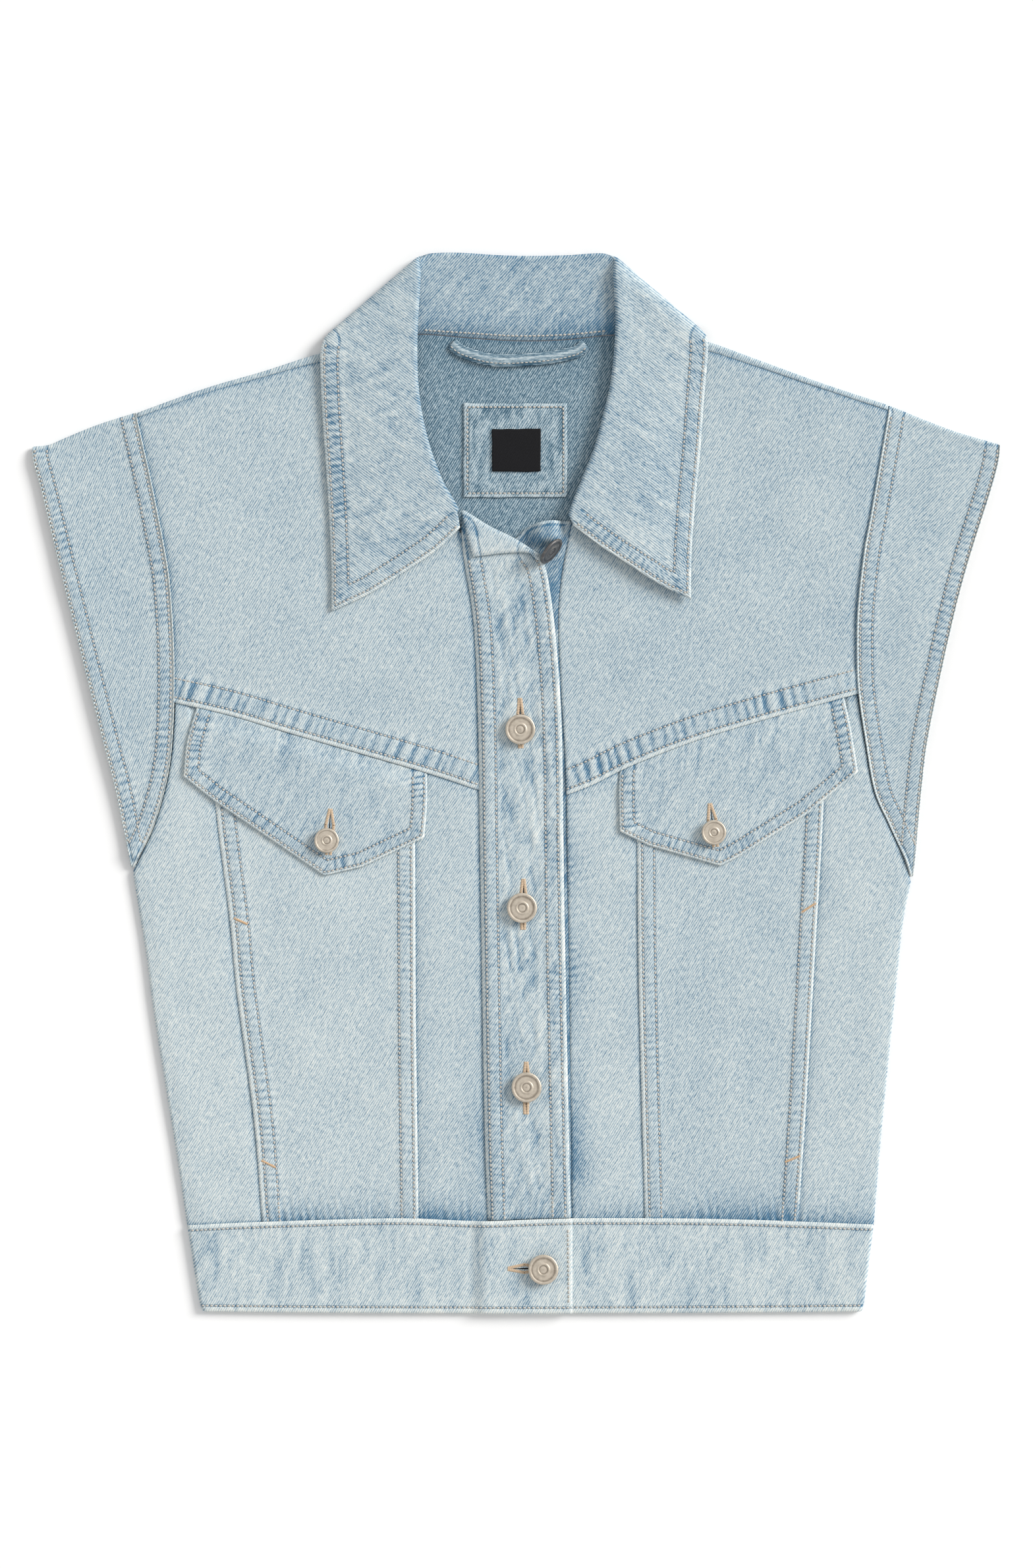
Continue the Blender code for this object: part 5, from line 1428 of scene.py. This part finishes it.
def build_bars():
    threads = Threads()
    slits = []
    for name, tip, stop, spread in HOLES:
        buttonhole(threads, slits, name, tip, stop, spread)
    threads.make("buttonholes", tan_thread)
    dark = Threads()
    for name, start, stop in slits:
        plan = [start + (stop - start) * share for share in np.linspace(0, 1, SLIT_STEPS)]
        heights = [surface_at(name, *p) for p in plan]
        centres = [np.array([*p, h - 0.02]) for p, h in zip(plan, heights) if h is not None]
        dark.tube(centres, np.linspace(0.25, 0.75, len(centres)), np.ones(len(centres)), flat=0.3)
    dark.make("buttonhole_slits", slit_black)
    tacks = Threads()
    for name, start, stop in TACKS:
        satin_bar(tacks, name, start, stop, width=1.5)
    tacks.make("bar_tacks", tack_thread)


build_bars()


# Buttons
MAIN_RADIUS = 8.5
CROWN, RIM = SHANK_HEIGHT + 2.0, SHANK_HEIGHT + 2.4
BUTTON_SIDES = 72
BUTTON_LIFT = 0.3       # over the lowest point of the CAD part's button
DISC_MIDDLE = 1.2       # from the shank's top to the middle of the disc
BUTTON_GROOVES, GROOVE_REACH = (2.2, 6.6), 0.3      # radii of a main button's dark rings
BUTTON_PROFILE = [
    # radius and height of a main button, from the crown's ring down the rim and the shank
    (0.0, CROWN + 0.08), (0.9, CROWN + 0.06), (1.7, CROWN), (2.1, CROWN - 0.1), (2.45, CROWN - 0.02),
    (2.8, CROWN + 0.22), (3.3, CROWN + 0.28), (3.6, CROWN + 0.14), (3.9, CROWN - 0.02), (4.4, CROWN),
    (5.4, CROWN + 0.04), (6.3, CROWN + 0.02), (6.7, CROWN + 0.06),
    (7.1, RIM - 0.14), (7.5, RIM - 0.06), (7.9, RIM - 0.1), (8.25, RIM - 0.25), (8.45, RIM - 0.6),
    (8.5, SHANK_HEIGHT + 1.4), (8.4, SHANK_HEIGHT + 0.95), (8.0, SHANK_HEIGHT + 0.5),
    (6.0, SHANK_HEIGHT + 0.25), (4.2, SHANK_HEIGHT), (3.7, SHANK_HEIGHT * 0.6),
    (3.4, 0.1), (3.2, 0.0), (0.0, 0.0),
]
BUTTONS = [
    # name, x, y, radius; the height comes from the CAD part's box
    ("button_upper", 2.5, 30, MAIN_RADIUS), ("button_middle", 3.5, -70.5, MAIN_RADIUS),
    ("button_lower", 6, -171.5, MAIN_RADIUS), ("button_waistband", 15.5, -274, MAIN_RADIUS),
    ("button_flap_left", -106.5, -32.5, 7.0), ("button_flap_right", 111.5, -28, 7.0),
]


def build_button(name, radius, matrix, seed, finish=button_metal):
    """A shank button: its profile turned about its axis, with dark rings in its grooves and painted shade on
    the underside and shank, moved by the matrix.
    """
    share = radius / MAIN_RADIUS
    verts, fade = [], []
    for r, z in [(r * share, z) for r, z in BUTTON_PROFILE[1:-1]]:
        grooved = any(abs(r * MAIN_RADIUS / radius - groove) < GROOVE_REACH for groove in BUTTON_GROOVES)
        for k in range(BUTTON_SIDES):
            angle = math.tau * k / BUTTON_SIDES
            verts.append((r * math.cos(angle), r * math.sin(angle), z))
            # Dark rings in the grooves; the underside and the shank darker still, as painted shade under the
            # disc
            fade.append(0.5 - (0.3 if grooved else 0.0) - (0.4 if z < SHANK_HEIGHT + 0.9 else 0.0))
    rings = len(BUTTON_PROFILE) - 2
    top, bottom = len(verts), len(verts) + 1
    verts += [(0, 0, BUTTON_PROFILE[0][1]), (0, 0, BUTTON_PROFILE[-1][1])]
    # the crown's middle, and the shank's foot in painted shade
    fade += [0.35, 0.0]
    ids = np.arange(rings * BUTTON_SIDES).reshape(rings, BUTTON_SIDES)
    faces = grid_faces(np.hstack([ids, ids[:, :1]]).T, False, False)
    for k in range(BUTTON_SIDES):
        n = (k + 1) % BUTTON_SIDES
        faces += [(top, k, n), (bottom, int(ids[-1, n]), int(ids[-1, k]))]
    mesh = bpy.data.meshes.new(name)
    mesh.from_pydata([tuple(c * MM for c in v) for v in verts], [], faces)
    add_field(mesh, "grain", np.array(verts, np.float32) + seed * 17)
    add_field(mesh, "fade", fade)
    mesh.transform(matrix)
    piece = new_piece("vest_" + name, mesh, finish)
    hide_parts(name)


def build_buttons():
    for seed, (name, x, y, radius) in enumerate(BUTTONS, 1):
        low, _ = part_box(name)
        build_button(name, radius, Matrix.Translation((x * MM, y * MM, low.z + BUTTON_LIFT * MM)), seed)
    spec = NECK_BUTTON
    facing, tilt = math.radians(spec["face_to"]), math.radians(spec["tilt"])
    lean = Matrix.Rotation(facing, 4, "Z") @ Matrix.Rotation(tilt, 4, "Y")
    centre = Matrix.Translation(Vector((spec["x"], spec["y"], spec["z"])) * MM)
    middle = Matrix.Translation((0, 0, -(SHANK_HEIGHT + DISC_MIDDLE) * MM))
    build_button("button_neck", spec["radius"], centre @ lean @ middle, 9, finish=shaded_metal)


build_buttons()


# Floor, light and camera, in metres
FLOOR_REACH, FLOOR_Z = 6.0, -0.0002
SKY_STRENGTH, SUN_STRENGTH = 0.62, 2.95
EYE_HEIGHT, VIEW_SPAN = 3.0, 0.885      # the span is the width of the photo on the floor
SENSOR = 36.0


def build_stage():
    """A pale floor, an even white sky, one broad sun from the upper right, and a camera straight above."""
    mesh = bpy.data.meshes.new("floor")
    corners = [(-1, -1), (1, -1), (1, 1), (-1, 1)]
    mesh.from_pydata([(x * FLOOR_REACH, y * FLOOR_REACH, FLOOR_Z) for x, y in corners], [], [(0, 1, 2, 3)])
    floor = bpy.data.objects.new("floor", mesh)
    paper = Graph("floor_paper")
    cloud = paper.noise(paper.node("TexCoord", {}, "Object"), (3.0, 3.0, 3.0))
    paper.look(cloud, [(0.0, (247, 247, 247)), (1.0, (250.5, 250.5, 250.5))], roughness=0.9)
    mesh.materials.append(paper.material)
    bpy.context.scene.collection.objects.link(floor)

    world = bpy.data.worlds.new("studio")
    world.use_nodes = True
    sky = world.node_tree.nodes["Background"]
    sky.inputs["Color"].default_value = (1.0, 1.0, 1.0, 1.0)
    sky.inputs["Strength"].default_value = SKY_STRENGTH
    bpy.context.scene.world = world

    light = bpy.data.lights.new("key", "SUN")
    light.energy = SUN_STRENGTH
    light.angle = math.radians(26)
    light.color = (1.0, 0.99, 0.975)
    key = bpy.data.objects.new("key", light)
    bpy.context.scene.collection.objects.link(key)
    key.location = (1.5, 0.8, 1.0)
    key.rotation_euler = (-key.location).to_track_quat("-Z", "Y").to_euler()

    camera = bpy.data.cameras.new("camera")
    camera.sensor_width = SENSOR
    camera.lens = SENSOR * EYE_HEIGHT / VIEW_SPAN
    camera.clip_end = 50.0
    eye = bpy.data.objects.new("camera", camera)
    eye.location = (0.00037, -0.00074, EYE_HEIGHT)
    bpy.context.scene.collection.objects.link(eye)
    bpy.context.scene.camera = eye
    bpy.context.scene.view_settings.view_transform = "Standard"


build_stage()
